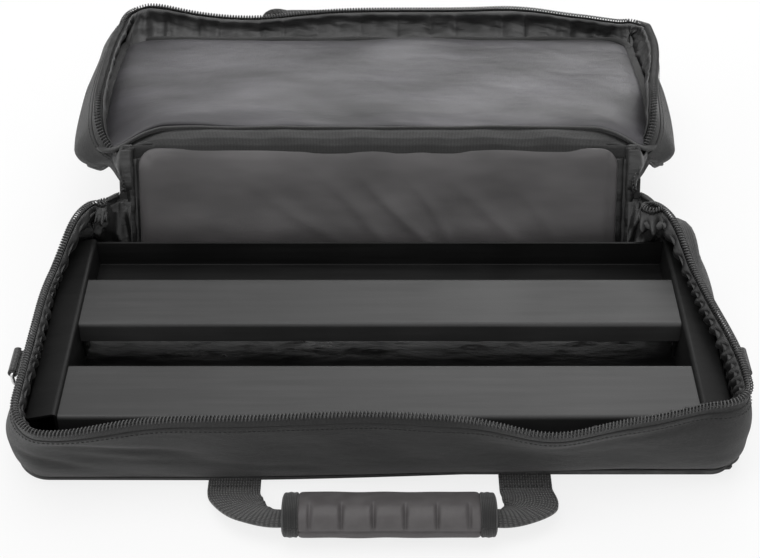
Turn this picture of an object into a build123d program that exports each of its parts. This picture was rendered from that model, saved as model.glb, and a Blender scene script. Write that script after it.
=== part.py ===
"""Padded zip case for a pedalboard, standing open with the board in its tray.

The tray is a soft box with a padded back panel that tips back about its bottom edge.
The lid is a shallower soft box, hinged along the back panel's top edge, and lies folded
over behind the tray. X runs along the width, +Y towards the back and +Z up. The origin is
the middle of the tray's underside.
"""

import os
from math import atan2, cos, degrees, radians, sin

from build123d import *

os.makedirs("parts", exist_ok=True)

# --- Board's size, and the room left round it in the tray (mm) ---
board_width = 508.0
board_depth = 200.0
board_height = 45.0
board_side_clearance = 3.8
board_front_clearance = 8.5
board_rear_clearance = 10.0
board_seat_gap = 0.3

# --- Case, as it measures when zipped shut ---
tray_height = 70.0
lid_height = 39.5
closing_gap = 0.5
back_corner_radius = 32.0
front_corner_radius = 28.0

# --- Plies of the soft walls, from outside to inside ---
fabric = 1.2
wall_foam = 8.0
floor_foam = 4.0
lid_foam_thickness = 6.0
back_foam_thickness = 4.0
lining = 0.8
pad_thickness = 5.0
ply_gap = 0.1

# --- Posture: how far the case stands open (degrees) ---
panel_lean = 27.0
lid_opening = 162.0

# --- Back panel and hinge lines ---
panel_side_inset = 62.0
hinge_gap = 0.3
mitre_gap = 0.2
pad_side_margin = 16.0
pad_corner_radius = 18.0
binding_height = 2.0
lid_binding_height = 4.0

# --- Zip fastener ---
coil_size = 2.4
coil_chamfer = 0.6
tape_height = 8.5
slider_length = 10.0
slider_width = 7.6
slider_thickness = 5.0
slider_plate = 1.5
slider_corner = 2.2
slider_post = 2.4
slider_proud = 1.0
slider_end_gap = 0.5
pull_post_radius = 1.4
pull_head_radius = 2.6
pull_head_height = 0.6
pull_thickness = 1.2
pull_clearance = 0.3
pull_eye_radius = 3.2
pull_ring_radius = 4.3
pull_ring_hole = 2.7
end_tab_thickness = 1.2
end_tab_height = 24.0
end_tab_clearance = 0.3

# --- Sewn edges ---
piping_radius = 1.5
piping_sides = 6
seam_clearance = 0.3

# --- Webbing handles ---
webbing_width = 38.0
webbing_thickness = 2.2
hem_radius = 1.3
handle_lift = 20.0
handle_leg = 8.0
handle_bend_radius = 30.0
lid_strap_tilt = 12.0
lid_strap_leg = 4.0
lid_strap_bend_radius = 24.0
lid_strap_height = 8.0
folded_width = 22.0
folded_thickness = 4.4

# --- Grip wrapped round the tray's handle ---
grip_length = 150.0
grip_width = 38.0
grip_height = 27.0
grip_end_radius = 9.5
grip_wall = 4.0
grip_binding_length = 11.5
grip_binding_step = 0.6
groove_count = 6
groove_pitch = 22.0
groove_width = 6.0
groove_length = 22.0
groove_depth = 2.6

# --- D rings for a shoulder strap ---
ring_y = -38.0
ring_bar_height = 46.0
ring_tab_width = 25.0
ring_tab_thickness = 1.8
ring_tab_length = 16.0
ring_wire = 3.0
ring_wire_sides = 8
ring_side_clearance = 0.5
ring_corner_radius = 2.0

# --- Pedalboard's folded sheet ---
sheet = 2.0
side_flange_width = 24.0
side_flange_drop = 5.0
side_lip = 2.5
side_foot_flange = 14.0
bend_radius = 2.0
slat_width = 55.0
slat_face_height = 17.0
slat_gap = 44.0
slat_end_clearance = 0.2
rail_height = 23.0
rail_flange = 22.0
bracket_width = 46.0
bracket_reach = 22.0
bracket_height = 34.0
bracket_sheet = 1.6
screw_spacing = 34.0
screw_depth_below_top = 29.0
screw_radius = 2.0
screw_hole_clearance = 0.15
screw_head_radius = 3.4
screw_head_height = 1.8
screw_length = 8.0
foot_radius = 6.0
foot_height = 3.0
foot_end_margin = 22.0

# --- Sizes that follow from the ones above ---
foam_inset = fabric + ply_gap
lining_inset = foam_inset + wall_foam + ply_gap
inner_inset = lining_inset + lining

floor_foam_z = fabric + ply_gap
floor_lining_z = floor_foam_z + floor_foam + ply_gap
floor_top = floor_lining_z + lining

lid_foam_z = fabric + ply_gap
lid_lining_z = lid_foam_z + lid_foam_thickness + ply_gap
lid_stack = lid_lining_z + lining

back_foam_z = fabric + ply_gap
back_lining_z = back_foam_z + back_foam_thickness + ply_gap
back_pad_z = back_lining_z + lining + ply_gap
back_stack = back_pad_z + pad_thickness

case_width = board_width + 2 * (board_side_clearance + inner_inset)
case_depth = board_depth + board_front_clearance + inner_inset + back_stack + board_rear_clearance
case_height = tray_height + closing_gap + lid_height
panel_half = case_width / 2 - panel_side_inset
gusset_end_half = panel_half + slider_length + 2 * slider_end_gap
hinge_cut = 4 * inner_inset
piping_offset = piping_radius + ply_gap
panel_bottom = floor_top + hinge_gap
panel_top = case_height - lid_stack - hinge_gap

tray_plane = Plane.XY
back_plane = Plane(
    origin=(0, case_depth / 2, 0),
    x_dir=(1, 0, 0),
    z_dir=(0, -cos(radians(panel_lean)), sin(radians(panel_lean))),
)
lid_turn = radians(panel_lean + lid_opening - 180)
lid_hinge = back_plane.from_local_coords((0, case_height, 0))
lid_plane = Plane(
    origin=lid_hinge,
    x_dir=(1, 0, 0),
    z_dir=(0, sin(lid_turn), cos(lid_turn)),
)
lid_axis = Axis(lid_plane.origin, lid_plane.z_dir)


def finish(builder, name):
    """Label a finished sub-part and write it to its own STEP file."""
    builder.part.label = name
    export_step(builder.part, f"parts/{name}.step")


def case_outline(inset, centre_y=0.0, flip=False):
    """Plan outline of the case, drawn in from the outside by inset.

    The hinge side has the larger corners. It lies at +Y, or at -Y when flip is true.
    """
    hinge_side = 0 if flip else -1
    front_side = -1 if flip else 0
    with Locations((0, centre_y)):
        Rectangle(case_width - 2 * inset, case_depth - 2 * inset)
    fillet(vertices().group_by(Axis.Y)[hinge_side], back_corner_radius - inset)
    fillet(vertices().group_by(Axis.Y)[front_side], front_corner_radius - inset)


def tray_sheet(height, inset):
    """A flat ply over the whole tray floor, at a height."""
    with BuildSketch(tray_plane.offset(height)) as ply:
        case_outline(inset)
    return ply.sketch


def tray_wall(height, inset, thickness):
    """A ply that stands round the front, sides and back corners of the tray."""
    with BuildSketch(tray_plane.offset(height)) as ply:
        case_outline(inset)
        offset(amount=-thickness, mode=Mode.SUBTRACT)
        with Locations((0, case_depth / 2)):
            Rectangle(2 * gusset_end_half, hinge_cut, mode=Mode.SUBTRACT)
    return ply.sketch


def lid_sheet(height, inset):
    """A flat ply over the whole lid, in the lid's own plane, whose +Y leaves the hinge."""
    with BuildSketch(lid_plane.offset(height)) as ply:
        case_outline(inset, case_depth / 2, flip=True)
    return ply.sketch


def lid_wall(height, inset, thickness):
    """A ply that stands round the lid's hinge corners, sides and front."""
    with BuildSketch(lid_plane.offset(height)) as ply:
        case_outline(inset, case_depth / 2, flip=True)
        offset(amount=-thickness, mode=Mode.SUBTRACT)
        Rectangle(2 * gusset_end_half, hinge_cut, mode=Mode.SUBTRACT)
    return ply.sketch


def panel_sheet(height, half_width, bottom, top):
    """A flat ply of the back panel, in the panel's own plane, whose +Y runs up it."""
    with BuildSketch(back_plane.offset(height)) as ply:
        with Locations((0, (bottom + top) / 2)):
            Rectangle(2 * half_width, top - bottom)
    return ply.sketch


def hinge_mitre(plane, into):
    """The wedge cut from a ply's hinge edge, so that its neighbour folds against it at 45 degrees.

    The plane is the ply's own, at the hinge line, and into points from the hinge into the ply.
    """
    side_on = Plane(origin=plane.origin, x_dir=into, z_dir=into.cross(plane.z_dir))
    with BuildSketch(side_on) as wedge:
        with BuildLine():
            Polyline(
                (-fabric, 0),
                (mitre_gap, 0),
                (mitre_gap + fabric, fabric),
                (-fabric, fabric),
                close=True,
            )
        make_face()
    return wedge.sketch


def build_piping(plane, centre_y, flip, hinge_y, name):
    """Round piping along a sewn edge, from one hinge corner round to the other."""
    with BuildSketch(plane.offset(piping_offset)) as route:
        case_outline(-piping_offset, centre_y, flip)
    front_y = 2 * centre_y - hinge_y
    outward = 1 if flip else -1
    start = plane.from_local_coords((0, front_y + outward * piping_offset, piping_offset))
    with BuildPart() as piping:
        with BuildSketch(Plane(origin=start, z_dir=plane.x_dir)):
            RegularPolygon(piping_radius, piping_sides)
        sweep(path=route.sketch.face().outer_wire())
        with BuildSketch(plane.offset(-piping_radius)):
            with Locations((0, hinge_y)):
                Rectangle(2 * gusset_end_half, hinge_cut)
        extrude(amount=2 * piping_offset + 2 * piping_radius, mode=Mode.SUBTRACT)
    finish(piping, name)


# ------------------------------------------------------------------ tray
with BuildPart() as tray_base_fabric:
    extrude(tray_sheet(0, 0), amount=fabric)
    tray_hinge = Plane(origin=back_plane.origin, z_dir=(0, 0, 1))
    extrude(hinge_mitre(tray_hinge, Vector(0, -1, 0)), amount=gusset_end_half, both=True, mode=Mode.SUBTRACT)
finish(tray_base_fabric, "tray_base_fabric")

with BuildPart() as tray_base_foam:
    extrude(tray_sheet(floor_foam_z, inner_inset), amount=floor_foam)
finish(tray_base_foam, "tray_base_foam")

with BuildPart() as tray_floor_lining:
    extrude(tray_sheet(floor_lining_z, inner_inset), amount=lining)
finish(tray_floor_lining, "tray_floor_lining")

tape_z = tray_height - coil_size - ply_gap - tape_height
with BuildPart() as tray_gusset_fabric:
    extrude(tray_wall(fabric, 0, fabric), amount=tape_z - fabric)
finish(tray_gusset_fabric, "tray_gusset_fabric")

with BuildPart() as tray_zip_tape:
    extrude(tray_wall(tape_z, 0, fabric), amount=tape_height)
finish(tray_zip_tape, "tray_zip_tape")

wall_top = tray_height - coil_size - 2 * ply_gap
with BuildPart() as tray_gusset_foam:
    extrude(tray_wall(floor_foam_z, foam_inset, wall_foam), amount=wall_top - floor_foam_z)
finish(tray_gusset_foam, "tray_gusset_foam")

with BuildPart() as tray_gusset_lining:
    extrude(tray_wall(floor_foam_z, lining_inset, lining), amount=wall_top - floor_foam_z)
finish(tray_gusset_lining, "tray_gusset_lining")

with BuildPart() as tray_zip_coil:
    extrude(tray_wall(tray_height - coil_size, 0, coil_size), amount=coil_size)
    chamfer(faces().sort_by(Axis.Z)[-1].outer_wire().edges(), coil_chamfer)
finish(tray_zip_coil, "tray_zip_coil")

build_piping(tray_plane, 0, False, case_depth / 2, "tray_seam_piping")

# ------------------------------------------------------------------ back panel
# The outer ply runs from hinge line to hinge line and is mitred at both.
with BuildPart() as back_outer_fabric:
    side_on = Plane(origin=back_plane.origin, x_dir=back_plane.y_dir, z_dir=back_plane.x_dir)
    with BuildSketch(side_on):
        with Locations((case_height / 2, fabric / 2)):
            Trapezoid(case_height - 2 * mitre_gap, fabric, 45)
    extrude(amount=panel_half, both=True)
finish(back_outer_fabric, "back_outer_fabric")

ply_top = panel_top - binding_height - ply_gap
with BuildPart() as back_foam:
    extrude(panel_sheet(back_foam_z, panel_half, panel_bottom, ply_top), amount=back_foam_thickness)
finish(back_foam, "back_foam")

with BuildPart() as back_lining:
    extrude(panel_sheet(back_lining_z, panel_half, panel_bottom, ply_top), amount=lining)
finish(back_lining, "back_lining")

with BuildPart() as back_pad:
    extrude(
        panel_sheet(back_pad_z, panel_half - pad_side_margin, panel_bottom, ply_top),
        amount=pad_thickness,
    )
    top_corners = edges().filter_by(Axis(back_plane.origin, back_plane.z_dir)).group_by(Axis.Z)[-1]
    fillet(top_corners, pad_corner_radius)
finish(back_pad, "back_pad")

with BuildPart() as back_top_binding:
    extrude(
        panel_sheet(back_foam_z, panel_half - pad_side_margin, ply_top + ply_gap, panel_top),
        amount=back_stack - back_foam_z,
    )
finish(back_top_binding, "back_top_binding")


# ------------------------------------------------------------------ zip sliders and pulls
slider_x = (panel_half + gusset_end_half) / 2
slider_y = tray_height + closing_gap / 2
slider_plane = back_plane.offset(-slider_proud)
pull_plane = slider_plane.offset(-pull_clearance - pull_thickness)
post_length = 2 * pull_clearance + pull_thickness + pull_head_height
post_plane = slider_plane.offset(-post_length)


def build_slider(side, name):
    """A slider parked at the end of the zip: two plates on a post, with a post for the pull."""
    with BuildPart() as slider:
        with BuildSketch(slider_plane):
            with Locations((side * slider_x, slider_y)):
                RectangleRounded(slider_length, slider_width, slider_corner)
        extrude(amount=slider_plate)
        with BuildSketch(slider_plane.offset(slider_thickness - slider_plate)):
            with Locations((side * slider_x, slider_y)):
                RectangleRounded(slider_length, slider_width, slider_corner)
        extrude(amount=slider_plate)
        with BuildSketch(slider_plane):
            with Locations((side * slider_x, slider_y)):
                Circle(slider_post)
        extrude(amount=slider_thickness)
        with BuildSketch(post_plane):
            with Locations((side * slider_x, slider_y)):
                Circle(pull_post_radius)
        extrude(amount=post_length)
        with BuildSketch(post_plane):
            with Locations((side * slider_x, slider_y)):
                Circle(pull_head_radius)
        extrude(amount=pull_head_height)
    finish(slider, name)


def build_pull(side, name):
    """A stamped pull of two rings in a figure of eight, hanging from the slider's post."""
    ring_drop = pull_eye_radius + pull_ring_radius - pull_thickness
    with BuildPart() as pull:
        with BuildSketch(pull_plane):
            with Locations((side * slider_x, slider_y)):
                Circle(pull_eye_radius)
            with Locations((side * slider_x, slider_y - ring_drop)):
                Circle(pull_ring_radius)
                Circle(pull_ring_hole, mode=Mode.SUBTRACT)
            with Locations((side * slider_x, slider_y)):
                Circle(pull_post_radius + pull_clearance, mode=Mode.SUBTRACT)
        extrude(amount=pull_thickness)
    finish(pull, name)


def build_end_tab(side, name):
    """The fabric tab that closes the end of the zip beside the back panel."""
    tab_width = gusset_end_half - panel_half - 2 * end_tab_clearance
    with BuildPart() as tab:
        with BuildSketch(slider_plane.offset(slider_thickness + ply_gap)):
            with Locations((side * slider_x, slider_y)):
                Rectangle(tab_width, end_tab_height)
        extrude(amount=end_tab_thickness)
    finish(tab, name)


for side, side_name in ((-1, "left"), (1, "right")):
    build_slider(side, f"zip_slider_{side_name}")
    build_pull(side, f"zip_pull_{side_name}")
    build_end_tab(side, f"zip_end_tab_{side_name}")

# ------------------------------------------------------------------ lid
with BuildPart() as lid_outer_panel:
    extrude(lid_sheet(0, 0), amount=fabric)
    extrude(hinge_mitre(lid_plane, lid_plane.y_dir), amount=gusset_end_half, both=True, mode=Mode.SUBTRACT)
finish(lid_outer_panel, "lid_outer_panel")

with BuildPart() as lid_foam:
    extrude(lid_sheet(lid_foam_z, inner_inset), amount=lid_foam_thickness)
finish(lid_foam, "lid_foam")

with BuildPart() as lid_panel_lining:
    extrude(lid_sheet(lid_lining_z, inner_inset), amount=lining)
finish(lid_panel_lining, "lid_panel_lining")

lid_tape_z = lid_height - coil_size - ply_gap - tape_height
with BuildPart() as lid_gusset_fabric:
    extrude(lid_wall(fabric, 0, fabric), amount=lid_tape_z - fabric)
finish(lid_gusset_fabric, "lid_gusset_fabric")

with BuildPart() as lid_zip_tape:
    extrude(lid_wall(lid_tape_z, 0, fabric), amount=tape_height)
finish(lid_zip_tape, "lid_zip_tape")

lid_wall_top = lid_height - coil_size - 2 * ply_gap
with BuildPart() as lid_gusset_foam:
    extrude(lid_wall(lid_foam_z, foam_inset, wall_foam), amount=lid_wall_top - lid_foam_z)
finish(lid_gusset_foam, "lid_gusset_foam")

with BuildPart() as lid_gusset_lining:
    extrude(lid_wall(lid_foam_z, lining_inset, lining), amount=lid_wall_top - lid_foam_z)
finish(lid_gusset_lining, "lid_gusset_lining")

with BuildPart() as lid_zip_coil:
    extrude(lid_wall(lid_height - coil_size, 0, coil_size), amount=coil_size)
    chamfer(faces().sort_by(lid_axis)[-1].outer_wire().edges(), coil_chamfer)
finish(lid_zip_coil, "lid_zip_coil")

# A tape covers the seam where the lid's panel lining meets its wall lining.
binding_inset = inner_inset + ply_gap
with BuildPart() as lid_inner_binding:
    extrude(
        lid_wall(lid_stack + ply_gap, binding_inset, lining),
        amount=lid_binding_height,
    )
finish(lid_inner_binding, "lid_inner_binding")

build_piping(lid_plane, case_depth / 2, True, 0, "lid_seam_piping")

# ------------------------------------------------------------------ webbing handles
grip_half = grip_length / 2


def build_webbing(plane, leg, bend_radius, name):
    """A flat webbing handle: two hems, two legs that turn inwards, and a folded middle."""
    anchor_x = grip_half + ply_gap + bend_radius
    middle_y = leg + bend_radius
    with BuildPart() as webbing:
        with BuildSketch(plane):
            with BuildLine():
                outer = CenterArc((grip_half + ply_gap, leg), bend_radius + webbing_width / 2, 0, 90)
                inner = CenterArc((grip_half + ply_gap, leg), bend_radius - webbing_width / 2, 0, 90)
                Line(outer @ 0, inner @ 0)
                Line(outer @ 1, inner @ 1)
            make_face()
            with Locations((anchor_x, leg / 2)):
                Rectangle(webbing_width, leg)
            mirror(about=Plane.YZ)
        extrude(amount=webbing_thickness / 2, both=True)
        with BuildSketch(plane):
            with Locations((0, middle_y)):
                Rectangle(2 * (grip_half + webbing_width / 4), folded_width)
        extrude(amount=folded_thickness / 2, both=True)
        for side in (-1, 1):
            hem = plane.from_local_coords((side * anchor_x, 0, 0))
            with BuildSketch(Plane(origin=hem, z_dir=(1, 0, 0))):
                Circle(hem_radius)
            extrude(amount=webbing_width / 2, both=True)
    finish(webbing, name)


handle_plane = Plane(
    origin=(
        0,
        -case_depth / 2 - 2 * piping_radius - ply_gap - seam_clearance - hem_radius,
        hem_radius + seam_clearance,
    ),
    x_dir=(-1, 0, 0),
    z_dir=(0, sin(radians(handle_lift)), cos(radians(handle_lift))),
)
build_webbing(handle_plane, handle_leg, handle_bend_radius, "handle_webbing")

strap_origin = lid_plane.from_local_coords(
    (0, case_depth + seam_clearance + hem_radius, lid_strap_height)
)
strap_tilt = radians(lid_strap_tilt)
lid_strap_plane = Plane(
    origin=strap_origin,
    x_dir=(1, 0, 0),
    z_dir=lid_plane.z_dir * sin(strap_tilt) - lid_plane.y_dir * cos(strap_tilt),
)
build_webbing(lid_strap_plane, lid_strap_leg, lid_strap_bend_radius, "lid_strap_webbing")

# ------------------------------------------------------------------ grip
grip_y = handle_leg + handle_bend_radius
section_plane = Plane(
    origin=handle_plane.from_local_coords((0, grip_y, 0)),
    x_dir=handle_plane.y_dir,
    z_dir=(1, 0, 0),
)
pad_half = grip_half - grip_binding_length - ply_gap
end_centre = grip_width / 2 - grip_end_radius
top_radius = (end_centre**2 + grip_height**2 / 4 - grip_end_radius**2) / (grip_height - 2 * grip_end_radius)
top_centre = top_radius - grip_height / 2
tangent_angle = degrees(atan2(top_centre, end_centre))


def grip_oval(inset):
    """The grip's section, drawn in by inset: two tight end arcs and two flat ones, all tangent."""
    with BuildLine() as outline:
        for turn, side in ((0, 1), (180, -1)):
            CenterArc((side * end_centre, 0), grip_end_radius - inset, turn - tangent_angle, 2 * tangent_angle)
            CenterArc(
                (0, -side * top_centre), top_radius - inset, turn + tangent_angle, 180 - 2 * tangent_angle
            )
    make_face(outline.edges())


with BuildPart() as grip_core:
    with BuildSketch(section_plane):
        grip_oval(grip_wall + ply_gap)
        Rectangle(
            folded_width + 2 * ply_gap, folded_thickness + 2 * ply_gap, mode=Mode.SUBTRACT
        )
    extrude(amount=grip_half, both=True)
finish(grip_core, "grip_core")

with BuildPart() as grip_pad:
    with BuildSketch(section_plane):
        grip_oval(0)
        offset(amount=-grip_wall, mode=Mode.SUBTRACT)
    extrude(amount=pad_half, both=True)
    with BuildSketch(handle_plane.offset(grip_height / 2)):
        with Locations((0, grip_y)):
            with GridLocations(groove_pitch, 0, groove_count, 1):
                Rectangle(groove_width, groove_length)
    extrude(amount=-groove_depth, mode=Mode.SUBTRACT)
finish(grip_pad, "grip_pad")

for side, side_name in ((-1, "left"), (1, "right")):
    with BuildPart() as grip_binding:
        with BuildSketch(section_plane.offset(side * (pad_half + ply_gap))):
            grip_oval(grip_binding_step)
            offset(amount=grip_binding_step - grip_wall, mode=Mode.SUBTRACT)
        extrude(amount=side * grip_binding_length)
    finish(grip_binding, f"grip_binding_{side_name}")

# ------------------------------------------------------------------ D rings
loop_radius = ring_wire / 2 + pull_clearance + ring_tab_thickness
ring_half = ring_tab_width / 2 + ring_side_clearance + ring_wire / 2


def build_ring_tab(side, name):
    """A webbing tab folded round the bar of a D ring and sewn to the tray's side."""
    bar_x = side * (case_width / 2 + ply_gap + loop_radius)
    tail_x = side * (case_width / 2 + ply_gap + ring_tab_thickness / 2)
    with BuildPart() as tab:
        with BuildSketch(Plane(origin=(0, ring_y, 0), x_dir=(1, 0, 0), z_dir=(0, -1, 0))):
            with Locations((bar_x, ring_bar_height)):
                Circle(loop_radius)
            with Locations((tail_x, ring_bar_height + ring_tab_length / 2)):
                Rectangle(ring_tab_thickness, ring_tab_length)
            with Locations((bar_x, ring_bar_height)):
                Circle(loop_radius - ring_tab_thickness, mode=Mode.SUBTRACT)
        extrude(amount=ring_tab_width / 2, both=True)
    finish(tab, name)


def build_d_ring(side, name):
    """A wire ring with a straight bar, two tight corners and a half-round bow."""
    bar_x = side * (case_width / 2 + ply_gap + loop_radius)
    bar_end = ring_half - ring_corner_radius
    with BuildPart() as ring:
        with BuildLine(Plane(origin=(bar_x, ring_y, ring_bar_height), x_dir=(0, 1, 0), z_dir=(1, 0, 0))):
            Line((0, 0), (bar_end, 0))
            CenterArc((bar_end, -ring_corner_radius), ring_corner_radius, 90, -90)
            CenterArc((0, -ring_corner_radius), ring_half, 0, -180)
            CenterArc((-bar_end, -ring_corner_radius), ring_corner_radius, 180, -90)
            Line((-bar_end, 0), (0, 0))
        with BuildSketch(Plane(origin=(bar_x, ring_y, ring_bar_height), z_dir=(0, 1, 0))):
            RegularPolygon(ring_wire / 2, ring_wire_sides)
        sweep()
    finish(ring, name)


for side, side_name in ((-1, "left"), (1, "right")):
    build_ring_tab(side, f"ring_tab_{side_name}")
    build_d_ring(side, f"d_ring_{side_name}")

# ------------------------------------------------------------------ pedalboard
board_bottom = floor_top + board_seat_gap
board_top = board_bottom + board_height
board_rear = case_depth / 2 - back_stack - board_rear_clearance
board_front = board_rear - board_depth
board_middle = (board_front + board_rear) / 2
inner_wall_x = board_width / 2 - side_flange_width + sheet / 2
outer_wall_x = board_width / 2 - sheet / 2
inner_face_x = inner_wall_x - sheet / 2
slat_half = inner_face_x - slat_end_clearance
flange_z = board_bottom + foot_height + sheet / 2
slat_front_y = board_front + slat_width / 2
slat_rear_y = slat_front_y + slat_width + slat_gap
screw_z = board_top - screw_depth_below_top
screw_rows = [
    slat_y + offset_y
    for slat_y in (slat_front_y, slat_rear_y)
    for offset_y in (-screw_spacing / 2, screw_spacing / 2)
]


def build_board_side(side, name):
    """A bent side channel with a sloping top, an inner wall, a skirt and a foot flange."""
    with BuildPart() as channel:
        with BuildSketch(Plane(origin=(0, board_front, 0), x_dir=(1, 0, 0), z_dir=(0, -1, 0))):
            with BuildLine():
                FilletPolyline(
                    (side * inner_wall_x, flange_z),
                    (side * inner_wall_x, board_top + side_lip),
                    (side * outer_wall_x, board_top + side_lip - side_flange_drop),
                    (side * outer_wall_x, flange_z),
                    (side * (outer_wall_x - side_foot_flange), flange_z),
                    radius=bend_radius,
                )
            trace(line_width=sheet)
        extrude(amount=-board_depth)
        with BuildSketch(Plane(origin=(side * inner_wall_x, 0, 0), x_dir=(0, 1, 0), z_dir=(1, 0, 0))):
            with Locations(*[(row, screw_z) for row in screw_rows]):
                Circle(screw_radius + screw_hole_clearance)
        extrude(amount=sheet, both=True, mode=Mode.SUBTRACT)
    finish(channel, name)


def build_slat(middle_y, name):
    """A slat bent down along both long edges."""
    edge = slat_width / 2 - sheet / 2
    with BuildPart() as slat:
        with BuildSketch(Plane(origin=(0, middle_y, 0), x_dir=(0, 1, 0), z_dir=(1, 0, 0))):
            with BuildLine():
                FilletPolyline(
                    (-edge, board_top - slat_face_height),
                    (-edge, board_top - sheet / 2),
                    (edge, board_top - sheet / 2),
                    (edge, board_top - slat_face_height),
                    radius=bend_radius,
                )
            trace(line_width=sheet)
        extrude(amount=slat_half, both=True)
    finish(slat, name)


build_board_side(-1, "board_side_left")
build_board_side(1, "board_side_right")
build_slat(slat_front_y, "board_slat_front")
build_slat(slat_rear_y, "board_slat_rear")

with BuildPart() as board_rear_rail:
    with BuildSketch(Plane(origin=(0, board_rear, 0), x_dir=(0, 1, 0), z_dir=(1, 0, 0))):
        with BuildLine():
            FilletPolyline(
                (-sheet / 2, board_top),
                (-sheet / 2, board_top - rail_height),
                (-rail_flange, board_top - rail_height),
                radius=bend_radius,
            )
        trace(line_width=sheet)
    extrude(amount=slat_half, both=True)
finish(board_rear_rail, "board_rear_rail")

# Angle brackets hold each slat's two ends to the side channels.
bracket_x = inner_face_x - ply_gap - bracket_sheet / 2
bracket_z = board_top - sheet - ply_gap - bracket_sheet / 2
with BuildPart() as slat_brackets:
    for slat_y in (slat_front_y, slat_rear_y):
        for side in (-1, 1):
            with BuildSketch(Plane(origin=(0, slat_y, 0), x_dir=(1, 0, 0), z_dir=(0, -1, 0))):
                with BuildLine():
                    FilletPolyline(
                        (side * (bracket_x - bracket_reach), bracket_z),
                        (side * bracket_x, bracket_z),
                        (side * bracket_x, bracket_z - bracket_height),
                        radius=bend_radius,
                    )
                trace(line_width=bracket_sheet)
            extrude(amount=bracket_width / 2, both=True)
    with BuildSketch(Plane.YZ):
        with Locations(*[(row, screw_z) for row in screw_rows]):
            Circle(screw_radius + screw_hole_clearance)
    extrude(amount=board_width, both=True, mode=Mode.SUBTRACT)
finish(slat_brackets, "slat_brackets")

head_x = bracket_x - bracket_sheet / 2 - ply_gap
with BuildPart() as bracket_screws:
    for side in (-1, 1):
        head_plane = Plane(origin=(side * head_x, 0, 0), x_dir=(0, 1, 0), z_dir=(1, 0, 0))
        with BuildSketch(head_plane):
            with Locations(*[(row, screw_z) for row in screw_rows]):
                Circle(screw_radius)
        extrude(amount=side * screw_length)
        with BuildSketch(head_plane):
            with Locations(*[(row, screw_z) for row in screw_rows]):
                Circle(screw_head_radius)
        extrude(amount=-side * screw_head_height)
finish(bracket_screws, "bracket_screws")

with BuildPart() as board_feet:
    with BuildSketch(Plane.XY.offset(board_bottom)):
        with Locations((0, board_middle)):
            with GridLocations(
                2 * (outer_wall_x - side_foot_flange / 2), board_depth - 2 * foot_end_margin, 2, 2
            ):
                Circle(foot_radius)
    extrude(amount=foot_height - ply_gap)
finish(board_feet, "board_feet")
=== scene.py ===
"""Looks of a padded pedalboard case, standing open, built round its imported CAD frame.

Sizes in the classes are millimetres, as on a pattern cutter's drawing, and turn into metres when a
mesh is written. X runs along the case, +Y from the handle to the folded-back lid and +Z up. The
soft walls are drawn in the shape that they have when the case is shut, and then opened: the back
panel leans about its bottom edge, and the lid turns about the panel's top edge.
"""

import logging
import math
from abc import ABC, abstractmethod
from dataclasses import dataclass
from enum import Enum

import bpy
import numpy as np
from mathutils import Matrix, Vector


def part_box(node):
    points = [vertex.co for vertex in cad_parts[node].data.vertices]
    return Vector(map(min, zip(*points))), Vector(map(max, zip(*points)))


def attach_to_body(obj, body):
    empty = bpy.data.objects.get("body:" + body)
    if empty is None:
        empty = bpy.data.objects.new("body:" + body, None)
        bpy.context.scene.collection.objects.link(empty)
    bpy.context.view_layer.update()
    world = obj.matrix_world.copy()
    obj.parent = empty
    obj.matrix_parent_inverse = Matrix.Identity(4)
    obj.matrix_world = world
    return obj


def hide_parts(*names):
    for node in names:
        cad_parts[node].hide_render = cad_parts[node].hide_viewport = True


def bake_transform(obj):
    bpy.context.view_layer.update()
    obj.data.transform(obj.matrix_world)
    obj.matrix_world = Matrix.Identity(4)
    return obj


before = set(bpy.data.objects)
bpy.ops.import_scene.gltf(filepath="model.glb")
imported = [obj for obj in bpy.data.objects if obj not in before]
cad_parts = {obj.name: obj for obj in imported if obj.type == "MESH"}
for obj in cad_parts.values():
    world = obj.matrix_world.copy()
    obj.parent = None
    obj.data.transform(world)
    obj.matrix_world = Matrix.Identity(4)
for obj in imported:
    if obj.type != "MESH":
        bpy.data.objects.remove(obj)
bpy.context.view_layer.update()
MM = 0.001
log = logging.getLogger("pedal_case")
Array = np.ndarray
Piece = bpy.types.Object
Socket = bpy.types.NodeSocket
Triple = tuple[float, float, float]
Colour = Triple
Range = tuple[float, float, int]
SIDES = ((-1, "left"), (1, "right"))
TINY = 1e-9


# ---------------------------------------------------------------------- mathematics of cloth
def smoothstep(t: Array | float) -> Array:
    """Ease from 0 to 1: 3t^2 - 2t^3, with t held between 0 and 1."""
    t = np.clip(t, 0.0, 1.0)
    return t * t * (3.0 - 2.0 * t)


def bump(x: Array, middle: float, width: float) -> Array:
    """A bell: exp(-((x - middle) / width)^2)."""
    return np.exp(-(((x - middle) / width) ** 2))


@dataclass(frozen=True)
class Ramp:
    """An ease from 0 to 1: where it starts and how long it takes, in mm or in shares."""

    start: float
    span: float

    def __call__(self, x: Array) -> Array:
        """How far the ease has come at x."""
        return smoothstep((x - self.start) / self.span)


@dataclass(frozen=True)
class Bell:
    """A bell with a height of 1: its middle and its width."""

    middle: float
    width: float

    def __call__(self, x: Array) -> Array:
        """The bell's height at x."""
        return bump(x, self.middle, self.width)


def bells(x: Array, shapes: tuple[tuple[float, float, float], ...], total: float = 0.0) -> Array:
    """Several bells added to a total, each its height, its middle and its width in mm."""
    for height, middle, width in shapes:
        total = total + height * bump(x, middle, width)
    return total


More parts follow.
